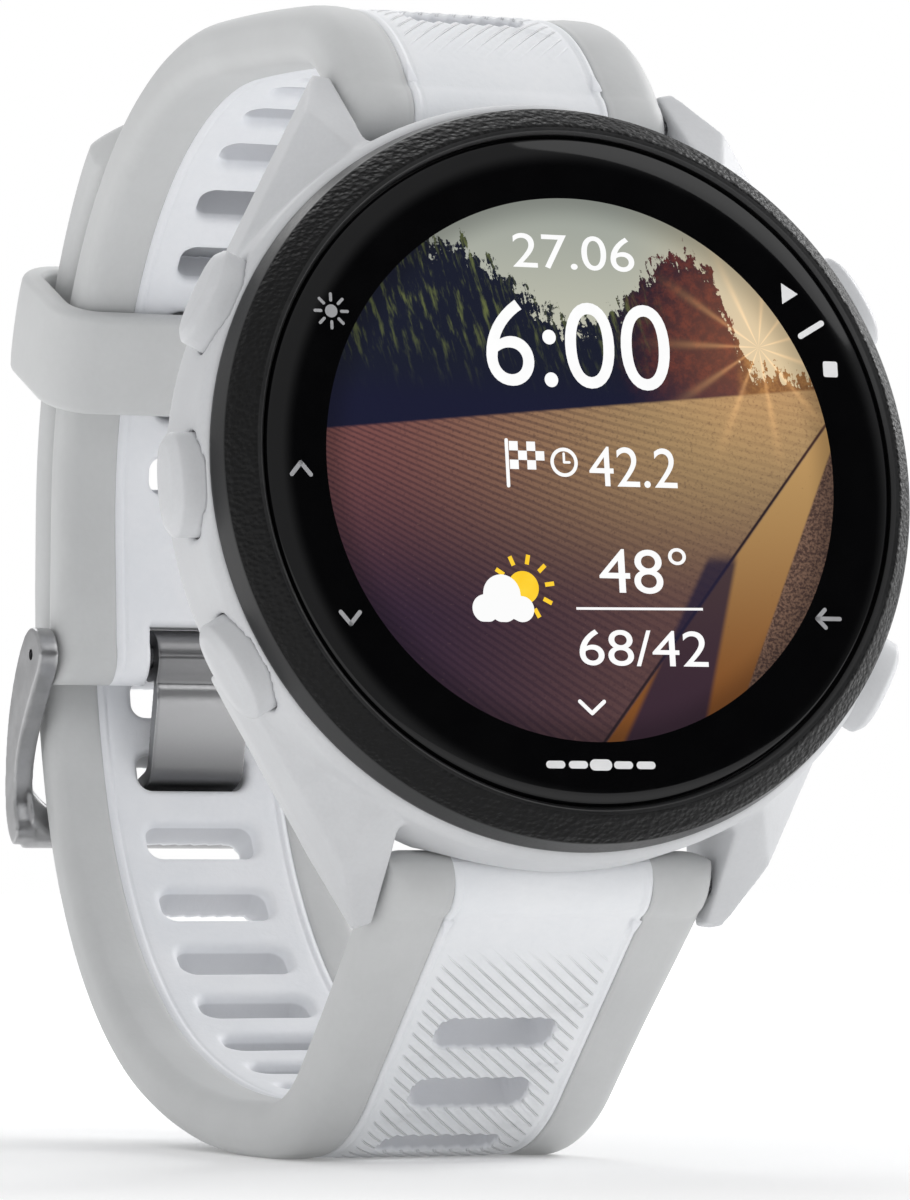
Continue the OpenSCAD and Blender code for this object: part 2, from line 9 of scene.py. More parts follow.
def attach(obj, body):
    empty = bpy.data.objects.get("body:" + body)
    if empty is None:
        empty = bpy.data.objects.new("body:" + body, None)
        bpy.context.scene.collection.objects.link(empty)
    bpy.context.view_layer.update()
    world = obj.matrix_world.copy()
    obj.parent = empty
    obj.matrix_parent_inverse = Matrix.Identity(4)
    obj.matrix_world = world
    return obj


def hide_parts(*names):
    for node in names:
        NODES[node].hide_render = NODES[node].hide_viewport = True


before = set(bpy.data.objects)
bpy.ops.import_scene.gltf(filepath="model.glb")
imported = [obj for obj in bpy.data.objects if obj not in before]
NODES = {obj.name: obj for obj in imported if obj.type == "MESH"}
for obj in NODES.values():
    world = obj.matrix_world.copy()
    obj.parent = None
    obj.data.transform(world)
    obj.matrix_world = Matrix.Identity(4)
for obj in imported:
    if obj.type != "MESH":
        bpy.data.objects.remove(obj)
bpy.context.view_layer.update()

SCENE = bpy.context.scene

# Lengths are in millimetres until a mesh is made, and the frame is in metres.
MM = 0.001

# ---------------------------------------------------------------- driving sizes
DIAL_TILT = 7.6
DIAL_CENTRE = (0.0, -26.3, 38.6)
CASE_R = 21.5
BUTTONS = {"light": 153.5, "up": 181.5, "down": 209.0, "back": -30.0, "start": 30.0}
BUTTON_Z = 4.0
CAP_L = 5.6
CAP_H = 3.3
CAP_BASE_R = 21.3
CAP_SIDE = 1.12
CAP_BEVEL = 0.55
CAP_CROWN = 0.14
STEM_R = 0.9
STEM_L = 4.2
GLASS_T = 0.8
IMAGE_R = 15.24

STRAP_T = 3.3
STRAP_HALF = 9.6
CORE_HALF = 6.0
BARREL_R = 1.9
SLOT_PITCH = 5.08
SLOT_HALF_X = 3.65
SLOT_HALF_S = 1.25
SLOT_CORNER = 0.9
LONG_LEN = 118.0
LONG_START = (-21.2667, 15.8343, -43.0)
LONG_SEGS = [
    (16.44, 0), (11.05, 43), (3.66, 0), (51.3, 18), (28.3, 52), (42.3, 20), (3.54, 0), (30.45, 60),
]
SHORT_START = (-15.4739, 59.2496, 62.4)
SHORT_SEGS = [(10.46, -56.4), (203, -4), (26.4, -93.5), (8.2, 0)]
SHORT_LEN = math.radians(1) * (10.46 * 56.4 + 203 * 4 + 26.4 * 93.5) + 8.2
PIN = (33.9348, 30.5224)
PIN_R = 0.75
LOOP_CENTRE = (7.7585, 39.4107)
KEEPER_ANGLE = 23.4
KEEPER_W = 6.6
KEEPER_T = 1.4
KEEPER_CROWN = 0.10
FRAME_HALF = 9.9
BUCKLE_BAR_TURN = math.radians(68)
PIN_END_X = 11.6
ARM_T = 1.3
TONGUE_W = 6.3
NOTCH_HALF = 3.6
NOTCH_UP = 1.82
RIB_ANGLE = math.radians(42)
RIB_PITCH = 0.70
RIB_HEIGHT = 0.15
CELL_HALF = 5.2
FILLET_IN = 0.55
FILLET_OUT = 0.16
LONG_SLOTS = (10.6, 19)
SHORT_SLOTS = (8.22, 12)
BAR_JOIN = math.radians(29.5)
PIN_JOIN = math.radians(-18.4)
LOOP_R = 26.4
TAIL_R = 30.45
KEEPER_GAP = 0.35
CAP_GROW = 0.1
CAP_FULLNESS = 2.2
CAP_SKIRT = 0.3
WHITE_GRAIN = 0.00005
INK_LIFT = 0.012
INK_SINK = 0.004
PLAIN_MARK_U = -16.5
ROOM_LOW = 0.67
ROOM_HIGH = 0.82
# Floor glow near the watch and far from it: the lower near value is a painted shade round the watch.
FLOOR_GLOW_WITH_NEAR_SHADE = (0.14, 0.55)
MIRROR_DIRECTION = Vector((0.519, -0.874, 0.218)).normalized()
CAMERA_AT = Vector((-0.134434, -0.326952, 0.015355))
CAMERA_RIGHT = Vector((0.92113, -0.38926, 0.0))
CAMERA_UP = Vector((-0.01905, -0.04508, 0.9988))
CAMERA_BACK = Vector((-0.38879, -0.92003, -0.04894))
CAMERA_LENS = 179.69

DIAL = Matrix.Translation(Vector(DIAL_CENTRE) * MM) @ Matrix.Rotation(
    math.radians(90 - DIAL_TILT), 4, "X"
)


# ---------------------------------------------------------------- node tree helper
class Net:
    """Short calls that build a node tree."""

    def __init__(self, tree):
        self.tree = tree
        tree.nodes.clear()

    def put(self, socket, value):
        if isinstance(value, bpy.types.NodeSocket):
            self.tree.links.new(value, socket)
        elif isinstance(value, tuple) and len(value) == 3 and socket.type == "RGBA":
            socket.default_value = (*value, 1.0)
        else:
            socket.default_value = value

    def feed(self, node, **values):
        """Sets or links several sockets: an underscore stands for a space in a socket's name."""
        for key, value in values.items():
            self.put(node.inputs[key.replace("_", " ")], value)

    def node(self, kind, **settings):
        made = self.tree.nodes.new(kind)
        for key, value in settings.items():
            setattr(made, key, value)
        return made

    def math(self, operation, *values):
        made = self.node("ShaderNodeMath", operation=operation)
        for index, value in enumerate(values):
            self.put(made.inputs[index], value)
        return made.outputs[0]

    def plus(self, a, b):
        return self.math("ADD", a, b)

    def less(self, a, b):
        return self.math("SUBTRACT", a, b)

    def times(self, a, b):
        return self.math("MULTIPLY", a, b)

    def length(self, a, b):
        return self.math("SQRT", self.plus(self.times(a, a), self.times(b, b)))

    def step(self, value, low, high, a=0.0, b=1.0):
        made = self.node("ShaderNodeMapRange", interpolation_type="SMOOTHSTEP")
        for index, item in enumerate((value, low, high, a, b)):
            self.put(made.inputs[index], item)
        return made.outputs[0]

    def mix(self, factor, a, b):
        made = self.node("ShaderNodeMix", data_type="RGBA")
        for index, item in zip((0, 6, 7), (factor, a, b)):
            self.put(made.inputs[index], item)
        return made.outputs[2]

    def add(self, a, b, factor=1.0):
        made = self.node("ShaderNodeMix", data_type="RGBA", blend_type="ADD")
        for index, item in zip((0, 6, 7), (factor, a, b)):
            self.put(made.inputs[index], item)
        return made.outputs[2]

    def noise(self, vector, scale, detail=3.0, roughness=0.55):
        made = self.node("ShaderNodeTexNoise")
        self.feed(made, Vector=vector, Scale=scale, Detail=detail, Roughness=roughness)
        return made.outputs[0]

    def cells(self, vector, scale, smooth):
        made = self.node("ShaderNodeTexVoronoi", feature="SMOOTH_F1")
        self.feed(made, Vector=vector, Scale=scale, Smoothness=smooth)
        return made.outputs["Distance"]

    def place(self):
        return self.node("ShaderNodeTexCoord").outputs["Object"]

    def attribute(self, name):
        return self.node("ShaderNodeAttribute", attribute_name=name).outputs["Vector"]

    def split(self, vector):
        made = self.node("ShaderNodeSeparateXYZ")
        self.put(made.inputs[0], vector)
        return made.outputs[0], made.outputs[1], made.outputs[2]

    def join(self, x, y, z=0.0):
        made = self.node("ShaderNodeCombineXYZ")
        for index, item in enumerate((x, y, z)):
            self.put(made.inputs[index], item)
        return made.outputs[0]

    def bump(self, height, depth, strength=1.0, normal=None):
        made = self.node("ShaderNodeBump")
        self.feed(made, Height=height, Distance=depth, Strength=strength)
        if normal is not None:
            self.put(made.inputs["Normal"], normal)
        return made.outputs[0]


def material(name):
    made = bpy.data.materials.new(name)
    made.use_nodes = True
    net = Net(made.node_tree)
    output = net.node("ShaderNodeOutputMaterial")
    shader = net.node("ShaderNodeBsdfPrincipled")
    made.node_tree.links.new(shader.outputs[0], output.inputs["Surface"])
    return made, net, shader


def moulded(name, light, dark, rough, grain, depth, strength):
    """A moulded polymer or silicone: fine grain, faint mottling and uneven gloss."""
    made, net, shader = material(name)
    place = net.place()
    cloud = net.noise(place, 160.0, 4.0)
    fine = net.noise(place, grain, 3.0, 0.6)
    pores = net.cells(place, grain * 0.55, 0.6)
    tone = net.step(net.plus(cloud, net.times(fine, 0.35)), 0.45, 0.95)
    height = net.plus(fine, net.times(pores, 0.8))
    gloss = net.step(net.plus(cloud, fine), 0.7, 1.3, *rough)
    net.feed(
        shader,
        Base_Color=net.mix(tone, dark, light),
        Roughness=gloss,
        Normal=net.bump(height, depth, strength),
    )
    return made


def metal(name, light, dark, rough=(0.24, 0.36), along=(1.0, 60.0, 60.0), scale=90.0):
    """A brushed or blasted metal: streaks along one axis, fine noise and uneven gloss."""
    made, net, shader = material(name)
    mapping = net.node("ShaderNodeMapping")
    net.feed(mapping, Vector=net.place(), Scale=along)
    streak = net.noise(mapping.outputs[0], scale, 5.0, 0.6)
    fine = net.noise(net.place(), 5200.0, 2.0)
    tone = net.mix(net.step(streak, 0.35, 0.7), dark, light)
    mixed = net.plus(net.times(streak, 0.7), net.times(fine, 0.3))
    net.feed(
        shader,
        Base_Color=tone,
        Roughness=net.step(mixed, 0.3, 0.7, *rough),
        Normal=net.bump(mixed, 0.000012, 0.3),
        Metallic=1.0,
    )
    return made


def tongue_material():
    """Blasted gunmetal with painted reflection and shade: lightest, a painted highlight, just below the bend
    round the pin, darker towards the tip, and darker again over the bend.
    """
    made, net, shader = material("tongue_gunmetal_painted_reflection")
    place = net.place()
    height = net.split(place)[2]
    fine = net.noise(place, 5200.0, 2.0)
    pin = PIN[1]
    # Painted reflection: the base colour is dark at the tip and rises to a painted highlight just below the
    # pin.
    painted_reflection_fall = net.step(height, (pin - 9.8) * MM, (pin - 3.4) * MM)
    base = net.mix(painted_reflection_fall, srgb(66, 66, 67), srgb(178, 178, 179))
    # Painted shade: the bend round the pin is given a darker tone than the plate just below it.
    bend_painted_shade = net.step(height, (pin - 2.3) * MM, (pin - 1.5) * MM)
    net.feed(
        shader,
        Base_Color=net.mix(bend_painted_shade, base, srgb(134, 134, 135)),
        Roughness=net.step(fine, 0.3, 0.7, 0.28, 0.36),
        Normal=net.bump(fine, 0.000008, 0.3),
        Metallic=1.0,
    )
    return made


# ---------------------------------------------------------------- mesh helpers
def finish_piece(obj, mats, body, nodes):
    for item in mats:
        obj.data.materials.append(item)
    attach(obj, body)
    if nodes:
        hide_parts(*nodes)


def build(name, verts, faces, place=None, bands=None, attribute=None, sharp=35.0):
    """A mesh object from millimetre points, with doubles merged and faces turned outward."""
    mesh = bpy.data.meshes.new(name)
    mesh.from_pydata((np.asarray(verts, float) * MM).tolist(), [], [list(map(int, f)) for f in faces])
    if bands is not None:
        mesh.polygons.foreach_set("material_index", np.asarray(bands, dtype=np.int32))
    if attribute is not None:
        layer = mesh.attributes.new("local_mm", "FLOAT_VECTOR", "POINT")
        layer.data.foreach_set("vector", np.asarray(attribute, np.float32).ravel())
    shape = bmesh.new()
    shape.from_mesh(mesh)
    bmesh.ops.remove_doubles(shape, verts=shape.verts, dist=0.8e-6)
    thin = [f for f in shape.faces if f.calc_area() < 1e-14]
    bmesh.ops.delete(shape, geom=thin, context="FACES_ONLY")
    bmesh.ops.recalc_face_normals(shape, faces=shape.faces)
    if place is not None:
        bmesh.ops.transform(shape, matrix=place, verts=shape.verts)
    shape.to_mesh(mesh)
    shape.free()
    shade(mesh, sharp)
    obj = bpy.data.objects.new(name, mesh)
    SCENE.collection.objects.link(obj)
    return obj


def shade(mesh, sharp):
    mesh.polygons.foreach_set("use_smooth", np.ones(len(mesh.polygons), dtype=bool))
    mesh.set_sharp_from_angle(angle=math.radians(sharp))


def rounded(points, radii, steps):
    """A closed outline with its corners rounded: radii is one number or one for each corner."""
    out = []
    count = len(points)
    for index in range(count):
        here = Vector(points[index])
        to_last = Vector(points[index - 1]) - here
        to_next = Vector(points[(index + 1) % count]) - here
        radius = radii[index] if isinstance(radii, (list, tuple)) else radii
        half = to_last.angle(to_next) / 2
        if radius <= 0 or half > math.radians(88):
            out.append(tuple(here))
            continue
        room = 0.48 * min(to_last.length, to_next.length)
        cut = min(radius / math.tan(half), room)
        radius = cut * math.tan(half)
        to_last.normalize()
        to_next.normalize()
        centre = here + (to_last + to_next).normalized() * (radius / math.sin(half))
        start = here + to_last * cut - centre
        end = here + to_next * cut - centre
        first = math.atan2(start.y, start.x)
        sweep = math.atan2(start.cross(end), start.dot(end))
        for k in range(steps + 1):
            angle = first + sweep * k / steps
            out.append((centre.x + radius * math.cos(angle), centre.y + radius * math.sin(angle)))
    return out


def revolve(profile, segments):
    """Points and faces of a closed (r, z) outline turned round the z axis."""
    angles = np.linspace(0, 2 * math.pi, segments, endpoint=False)
    count = len(profile)
    r = np.array([p[0] for p in profile])
    z = np.array([p[1] for p in profile])
    verts = np.stack(
        [
            np.outer(np.cos(angles), r).ravel(),
            np.outer(np.sin(angles), r).ravel(),
            np.tile(z, segments),
        ],
        axis=1,
    )
    faces = []
    for i in range(segments):
        a = i * count
        b = ((i + 1) % segments) * count
        for j in range(count):
            k = (j + 1) % count
            faces.append((a + j, b + j, b + k, a + k))
    return verts, faces


def turned_piece(name, outline, slope, sharp):
    """A turned dial piece whose second material lies where slope(a, b) holds between two corners."""
    verts, faces = revolve(outline, 288)
    bands = [int(slope(a, b)) for a, b in zip(outline, outline[1:] + outline[:1])]
    return build(name, verts, faces, DIAL, bands * 288, verts, sharp=sharp)


def loft(rings, closed=False):
    """Points and faces through rings of equal length, each ring a closed loop of points."""
    count = len(rings[0])
    verts = [p for ring in rings for p in ring]
    faces = []
    pairs = len(rings) if closed else len(rings) - 1
    for i in range(pairs):
        a = i * count
        b = ((i + 1) % len(rings)) * count
        for j in range(count):
            k = (j + 1) % count
            faces.append((a + j, a + k, b + k, b + j))
    if not closed:
        faces.append(tuple(range(count - 1, -1, -1)))
        faces.append(tuple(range((len(rings) - 1) * count, len(rings) * count)))
    return verts, faces


def disc_outline(x, y, r, count=48):
    angles = np.linspace(0, 2 * math.pi, count, endpoint=False)
    return [(x + r * math.cos(a), y + r * math.sin(a)) for a in angles]


def join_parts(parts):
    """One list of points and one of faces from several."""
    verts, faces = [], []
    for points, polygons in parts:
        base = len(verts)
        verts.extend([tuple(p) for p in points])
        faces.extend([tuple(base + i for i in f) for f in polygons])
    return verts, faces


def open_edges(faces):
    """The directed edges that only one face uses."""
    edges = {}
    for face in faces:
        for pair in zip(face, face[1:] + face[:1]):
            key = (min(pair), max(pair))
            edges[key] = None if key in edges else pair
    return [pair for pair in edges.values() if pair]


def apply_modifiers(obj):
    bpy.context.view_layer.update()
    graph = bpy.context.evaluated_depsgraph_get()
    fresh = bpy.data.meshes.new_from_object(obj.evaluated_get(graph))
    old = obj.data
    obj.modifiers.clear()
    obj.data = fresh
    bpy.data.meshes.remove(old)
    obj.data.materials.clear()


def cut_out(obj, cutter, use_self=False):
    """Takes the cutter's shape out of a piece, then removes the cutter."""
    cut = obj.modifiers.new("cut", "BOOLEAN")
    cut.object = cutter
    cut.solver = "EXACT"
    cut.use_self = use_self
    apply_modifiers(obj)
    bpy.data.objects.remove(cutter)


def soften(obj, voxel, passes):
    """Turns a closed mesh into a fine even one whose edges are softly rounded, as moulded."""
    remesh = obj.modifiers.new("remesh", "REMESH")
    remesh.mode = "VOXEL"
    remesh.voxel_size = voxel * MM
    remesh.use_smooth_shade = True
    smooth = obj.modifiers.new("smooth", "SMOOTH")
    smooth.factor = 0.5
    smooth.iterations = passes
    apply_modifiers(obj)
    shade(obj.data, 80.0)


def copy_of(node, name, place):
    """A new object with a CAD node's mesh, its points given in another frame."""
    mesh = NODES[node].data.copy()
    mesh.name = name
    mesh.materials.clear()
    mesh.transform(place.inverted())
    shape = bmesh.new()
    shape.from_mesh(mesh)
    bmesh.ops.remove_doubles(shape, verts=shape.verts, dist=1e-6)
    shape.to_mesh(mesh)
    shape.free()
    obj = bpy.data.objects.new(name, mesh)
    SCENE.collection.objects.link(obj)
    return obj


def curve_through(points, steps):
    """A smooth closed outline through the points, by Catmull-Rom."""
    pts = np.array(points, float)
    out = []
    count = len(pts)
    for i in range(count):
        p0, p1, p2, p3 = (pts[(i + k) % count] for k in (-1, 0, 1, 2))
        for k in range(steps):
            t = k / steps
            out.append(
                0.5
                * (
                    2 * p1
                    + (p2 - p0) * t
                    + (2 * p0 - 5 * p1 + 4 * p2 - p3) * t * t
                    + (3 * p1 - p0 - 3 * p2 + p3) * t**3
                )
            )
    return out


# ---------------------------------------------------------------- straps
def trace(start, segs, s):
    """Y, Z and heading of the strap's mid-line at each length s."""
    s = np.asarray(s, float)
    y, z, h = (np.zeros_like(s) for _ in range(3))
    py, pz, ph = start[0], start[1], math.radians(start[2])
    base = 0.0
    for index, (size, turn) in enumerate(segs):
        length = size if turn == 0 else size * abs(math.radians(turn))
        low = -1e9 if index == 0 else base
        high = 1e9 if index == len(segs) - 1 else base + length
        here = (s >= low) & (s < high)
        t = s[here] - base
        bend = np.zeros_like(t) if turn == 0 else np.maximum(t, 0) / size * math.copysign(1, turn)
        chord = t.copy() if turn == 0 else np.where(t < 0, t, 2 * size * np.sin(np.abs(bend) / 2))
        y[here] = py + chord * np.cos(ph + bend / 2)
        z[here] = pz + chord * np.sin(ph + bend / 2)
        h[here] = ph + bend
        turned = 0.0 if turn == 0 else math.radians(turn)
        chord_all = length if turn == 0 else 2 * size * math.sin(abs(turned) / 2)
        py += chord_all * math.cos(ph + turned / 2)
        pz += chord_all * math.sin(ph + turned / 2)
        ph += turned
        base += length
    return y, z, h


def on_strap(start, segs, x, s, d):
    """World points at strap positions: x across, s along, d to the left of travel."""
    y, z, h = trace(start, segs, s)
    return np.stack([x, y - d * np.sin(h), z + d * np.cos(h)], axis=1)


def box_gap(qx, qs):
    """Distance outside a rectangle, from how far a point is past each half side."""
    return np.hypot(np.maximum(qx, 0), np.maximum(qs, 0)) + np.minimum(np.maximum(qx, qs), 0)


def grid_faces(base, rows, columns):
    """Faces of a grid of points that starts at base, row by row."""
    starts = [base + i * columns + j for i in range(rows - 1) for j in range(columns - 1)]
    return [(a, a + 1, a + columns + 1, a + columns) for a in starts]


class Strap:
    """One strap: its path, which side is outward, its ends and its slots."""

    def __init__(self, start, segs, length, out, first, count, buckled):
        self.start = start
        self.segs = segs
        self.length = length
        self.out = out
        self.slots = [first + k * SLOT_PITCH for k in range(count)]
        self.buckled = buckled

    def half(self, s, outer):
        """Half thickness on one face, round the bar, round the pin and down to the tip."""
        s = np.asarray(s, float)
        flat = np.full_like(s, STRAP_T / 2)
        near_bar = np.sqrt(np.maximum(BARREL_R**2 - np.minimum(s, 0.94) ** 2, 0))
        flat = np.where(s < 0.94, near_bar, flat)
        if self.buckled:
            grow = 0.12 * np.clip((s - self.length + 7) / 5, 0, 1)
            flat = np.where(s > 0.94, flat + grow, flat)
            to_pin = s - self.length
            round_pin = np.sqrt(np.maximum(BARREL_R**2 - np.maximum(to_pin, -0.6) ** 2, 0))
            flat = np.where(to_pin > -0.6, round_pin, flat)
        else:
            tip = np.clip((s - self.length + 7) / 7, 0, 1)
            edge = np.clip((self.length - s) / 0.7, 0, 1)
            soft = 1 - np.sqrt(np.maximum(1 - (1 - edge) ** 2, 0))
            flat = flat - soft * 0.55
            if outer:
                flat = flat - 1.5 * tip**2
        return flat

    def limit(self, s, widest):
        """Half width allowed by the round tip of the long strap."""
        s = np.asarray(s, float)
        if self.buckled:
            return np.full_like(s, widest)
        past = np.maximum(s - (self.length - 11.1), 0)
        return np.minimum(widest, np.sqrt(np.maximum(11.6**2 - past**2, 0.01)))

    def slot_gap(self, x, s):
        """Distance from the nearest slot's edge, positive outside it."""
        best = np.full_like(x, 9.0)
        for centre in self.slots:
            qx = np.abs(x) - (SLOT_HALF_X - SLOT_CORNER)
            qs = np.abs(s - centre) - (SLOT_HALF_S - SLOT_CORNER)
            best = np.minimum(best, box_gap(qx, qs) - SLOT_CORNER)
        if self.buckled:
            qx = np.abs(x) - NOTCH_HALF
            qs = self.length - NOTCH_UP - s
            best = np.minimum(best, box_gap(qx, qs))
        return best

    def ribs(self, x, s):
        """Height of the slanted ribs on the outer face."""
        phase = (-x * math.sin(RIB_ANGLE) + s * math.cos(RIB_ANGLE)) / RIB_PITCH
        turn = phase + 0.5 - np.floor(phase + 0.5)
        wave = np.where(turn < 0.8, turn / 0.8, (1 - turn) / 0.2)
        start = np.clip((s - 3.0) / 3.4, 0, 1)
        end = np.clip((self.length - 5.0 - s) / 3.0, 0, 1)
        margin = np.clip((5.15 - np.abs(x)) / 0.35, 0, 1)
        return RIB_HEIGHT * wave * start * end * margin


def core_plan(strap):
    """The flat (x, s) net of a core: rings round each slot and plain rows elsewhere."""
    inner_columns = np.linspace(-CELL_HALF, CELL_HALF, 53)
    strip = np.array([5.2, 5.29, 5.38, 5.47, 5.56, 5.65, 5.74, 5.82, 5.89, 5.95, CORE_HALF])
    columns = np.concatenate([-strip[:0:-1], inner_columns, strip[1:]])
    side = np.linspace(-SLOT_PITCH / 2, SLOT_PITCH / 2, 25)
    rows_ahead = strap.slots[0] - SLOT_PITCH / 2
    rows_after = strap.slots[-1] + SLOT_PITCH / 2
    edge = (
        [(x, -SLOT_PITCH / 2) for x in inner_columns]
        + [(CELL_HALF, y) for y in side[1:]]
        + [(x, SLOT_PITCH / 2) for x in inner_columns[::-1][1:]]
        + [(-CELL_HALF, y) for y in side[::-1][1:-1]]
    )
    edge = np.array(edge)
    scale = np.array([SLOT_HALF_X / CELL_HALF, SLOT_HALF_S / (SLOT_PITCH / 2)])
    inner = edge * scale
    straight = np.array([SLOT_HALF_X - SLOT_CORNER, SLOT_HALF_S - SLOT_CORNER])
    beyond = np.abs(inner) - straight
    corner = (beyond > 0).all(axis=1)
    reach = np.where(corner, np.hypot(*np.maximum(beyond, 0).T), 1.0)
    pulled = np.sign(inner) * (straight + np.maximum(beyond, 0) * (SLOT_CORNER / reach)[:, None])
    inner = np.where(corner[:, None], pulled, inner)
    gaps = np.hypot(*(edge - inner).T)
    near = [0.0, 0.03, 0.08, 0.15, 0.24, 0.36, 0.55]
    rings = []
    for distance in near:
        rings.append(inner + (edge - inner) * (distance / gaps)[:, None])
    last = (edge - inner) * (near[-1] / gaps)[:, None]
    for share in (0.22, 0.45, 0.72, 1.0):
        rings.append(inner + last + (edge - inner - last) * share)
    points, quads = [], []
    count = len(edge)
    for centre in strap.slots:
        base = len(points)
        for ring in rings:
            points.extend([(p[0], p[1] + centre) for p in ring])
        for i in range(len(rings) - 1):
            for j in range(count):
                k = (j + 1) % count
                a = base + i * count
                quads.append((a + j, a + k, a + count + k, a + count + j))
        for hand in (-1, 1):
            base = len(points)
            order = strip * hand if hand > 0 else strip[::-1] * hand
            points.extend([(x, centre + y) for y in side for x in order])
            quads.extend(grid_faces(base, len(side), len(strip)))

    def rows(values, keep=lambda x, s: True):
        base = len(points)
        width = len(columns)
        for s in values:
            limit = float(strap.limit(s, CORE_HALF))
            points.extend([(x * limit / CORE_HALF, s) for x in columns])
        for index, face in enumerate(grid_faces(base, len(values), width)):
            i, j = divmod(index, width - 1)
            if keep((columns[j] + columns[j + 1]) / 2, (values[i] + values[i + 1]) / 2):
                quads.append(face)

    turn = BARREL_R * np.sin(np.linspace(-math.pi / 2, BAR_JOIN, 14))
    rows(list(turn) + list(np.linspace(turn[-1], rows_ahead, 40)[1:]))
    if strap.buckled:
        notch = strap.length - NOTCH_UP
        back = BARREL_R * np.sin(np.linspace(PIN_JOIN, math.pi / 2, 14)) + strap.length
        ahead = list(np.linspace(rows_after, notch, 30)) + list(np.linspace(notch, back[0], 8)[1:])
        rows(ahead + list(back[1:]), lambda x, s: s < notch or abs(x) > NOTCH_HALF)
    else:
        tail = strap.length - 0.7 * (1 - np.sin(np.linspace(0, math.pi / 2, 8)))
        rows(list(np.linspace(rows_after, tail[0], 60)) + list(tail[1:]))
    return np.array(points), quads


def core_mesh(strap):
    """Both faces of a core from its net, and walls wherever the net has an edge."""
    plan, quads = core_plan(strap)
    keys, order, fresh = {}, [], []
    for p in plan:
        key = (round(p[0] * 2000), round(p[1] * 2000))
        if key not in keys:
            keys[key] = len(fresh)
            fresh.append(p)
        order.append(keys[key])
    plan = np.array(fresh)
    quads = [tuple(order[i] for i in q) for q in quads]
    x, s = plan[:, 0], plan[:, 1]
    gap = strap.slot_gap(x, s)

    def drop(radius):
        inside = np.clip(radius - gap, 0, radius)
        return radius - np.sqrt(np.maximum(radius**2 - inside**2, 0))

    side = np.abs(x)
    lip = 0.08 * np.exp(-(((side - 5.70) / 0.13) ** 2)) - 0.07 * np.exp(-(((side - 5.42) / 0.11) ** 2))
    groove = 0.16 * np.clip((side - 5.86) / 0.14, 0, 1) ** 2
    room = np.clip(strap.half(s, True) / (STRAP_T / 2), 0, 1)
    outer = strap.half(s, True) + (strap.ribs(x, s) - RIB_HEIGHT * 0.5 + lip - groove) * room
    outer = np.maximum(outer - drop(FILLET_OUT), 0.02)
    inner = strap.half(s, False) - drop(FILLET_IN) - 0.12 * np.clip((side - 5.8) / 0.2, 0, 1) * room
    seam = 0.07 * np.exp(-(((side - 5.4) / 0.11) ** 2)) - 0.03 * np.exp(-(((side - 5.65) / 0.12) ** 2))
    inner = np.maximum(inner - seam * room, 0.02)
    top = on_strap(strap.start, strap.segs, x, s, strap.out * outer)
    low = on_strap(strap.start, strap.segs, x, s, -strap.out * inner)
    total = len(plan)
    verts = [top, low]
    marks = [np.stack([x, s, np.ones(total)], 1), np.stack([x, s, np.zeros(total)], 1)]
    faces = quads + [tuple(total + i for i in q[::-1]) for q in quads]
    bands = [0] * len(quads) + [1] * len(quads)
    rim = open_edges(quads)
    used = sorted({i for pair in rim for i in pair})
    layer = {v: n for n, v in enumerate(used)}
    used = np.array(used)
    shares = (0.25, 0.5, 0.75)
    for share in shares:
        height = outer[used] * (1 - share) - inner[used] * share
        verts.append(on_strap(strap.start, strap.segs, x[used], s[used], strap.out * height))
        marks.append(np.stack([x[used], s[used], np.full(len(used), 0.5)], 1))
    levels = [lambda v: v]
    for index in range(len(shares)):
        base = 2 * total + index * len(used)
        levels.append(lambda v, base=base: base + layer[v])
    levels.append(lambda v: total + v)
    for a, b in rim:
        for upper, lower in zip(levels, levels[1:]):
            faces.append((upper(b), upper(a), lower(a), lower(b)))
            bands.append(1)
    return np.concatenate(verts), faces, bands, np.concatenate(marks)


def rail_section():
    """A rail's closed cross-section at full size, as (across from the seam, height)."""
    outer = [(0.0, 1.44), (0.05, 1.56), (0.14, 1.615), (0.3, 1.60), (0.42, 1.63), (0.7, 1.70),
        (1.2, 1.745), (1.8, 1.74)]
    bend = [
        (2.15 + 1.45 * math.sin(a), 0.27 + 1.45 * math.cos(a))
        for a in np.radians([6, 16, 27, 38, 49, 60, 71, 81, 90])
    ]
    lower = [
        (2.35 + 1.25 * math.sin(a), -0.42 + 1.25 * math.cos(a))
        for a in np.radians([90, 101, 113, 125, 138, 151, 164, 176])
    ]
    inner = [(1.6, -1.675), (0.9, -1.67), (0.4, -1.66), (0.14, -1.63), (0.0, -1.54)]
    back = [(0.0, -0.8), (0.0, 0.0), (0.0, 0.8)]
    return np.array(outer + bend + lower + inner + back)


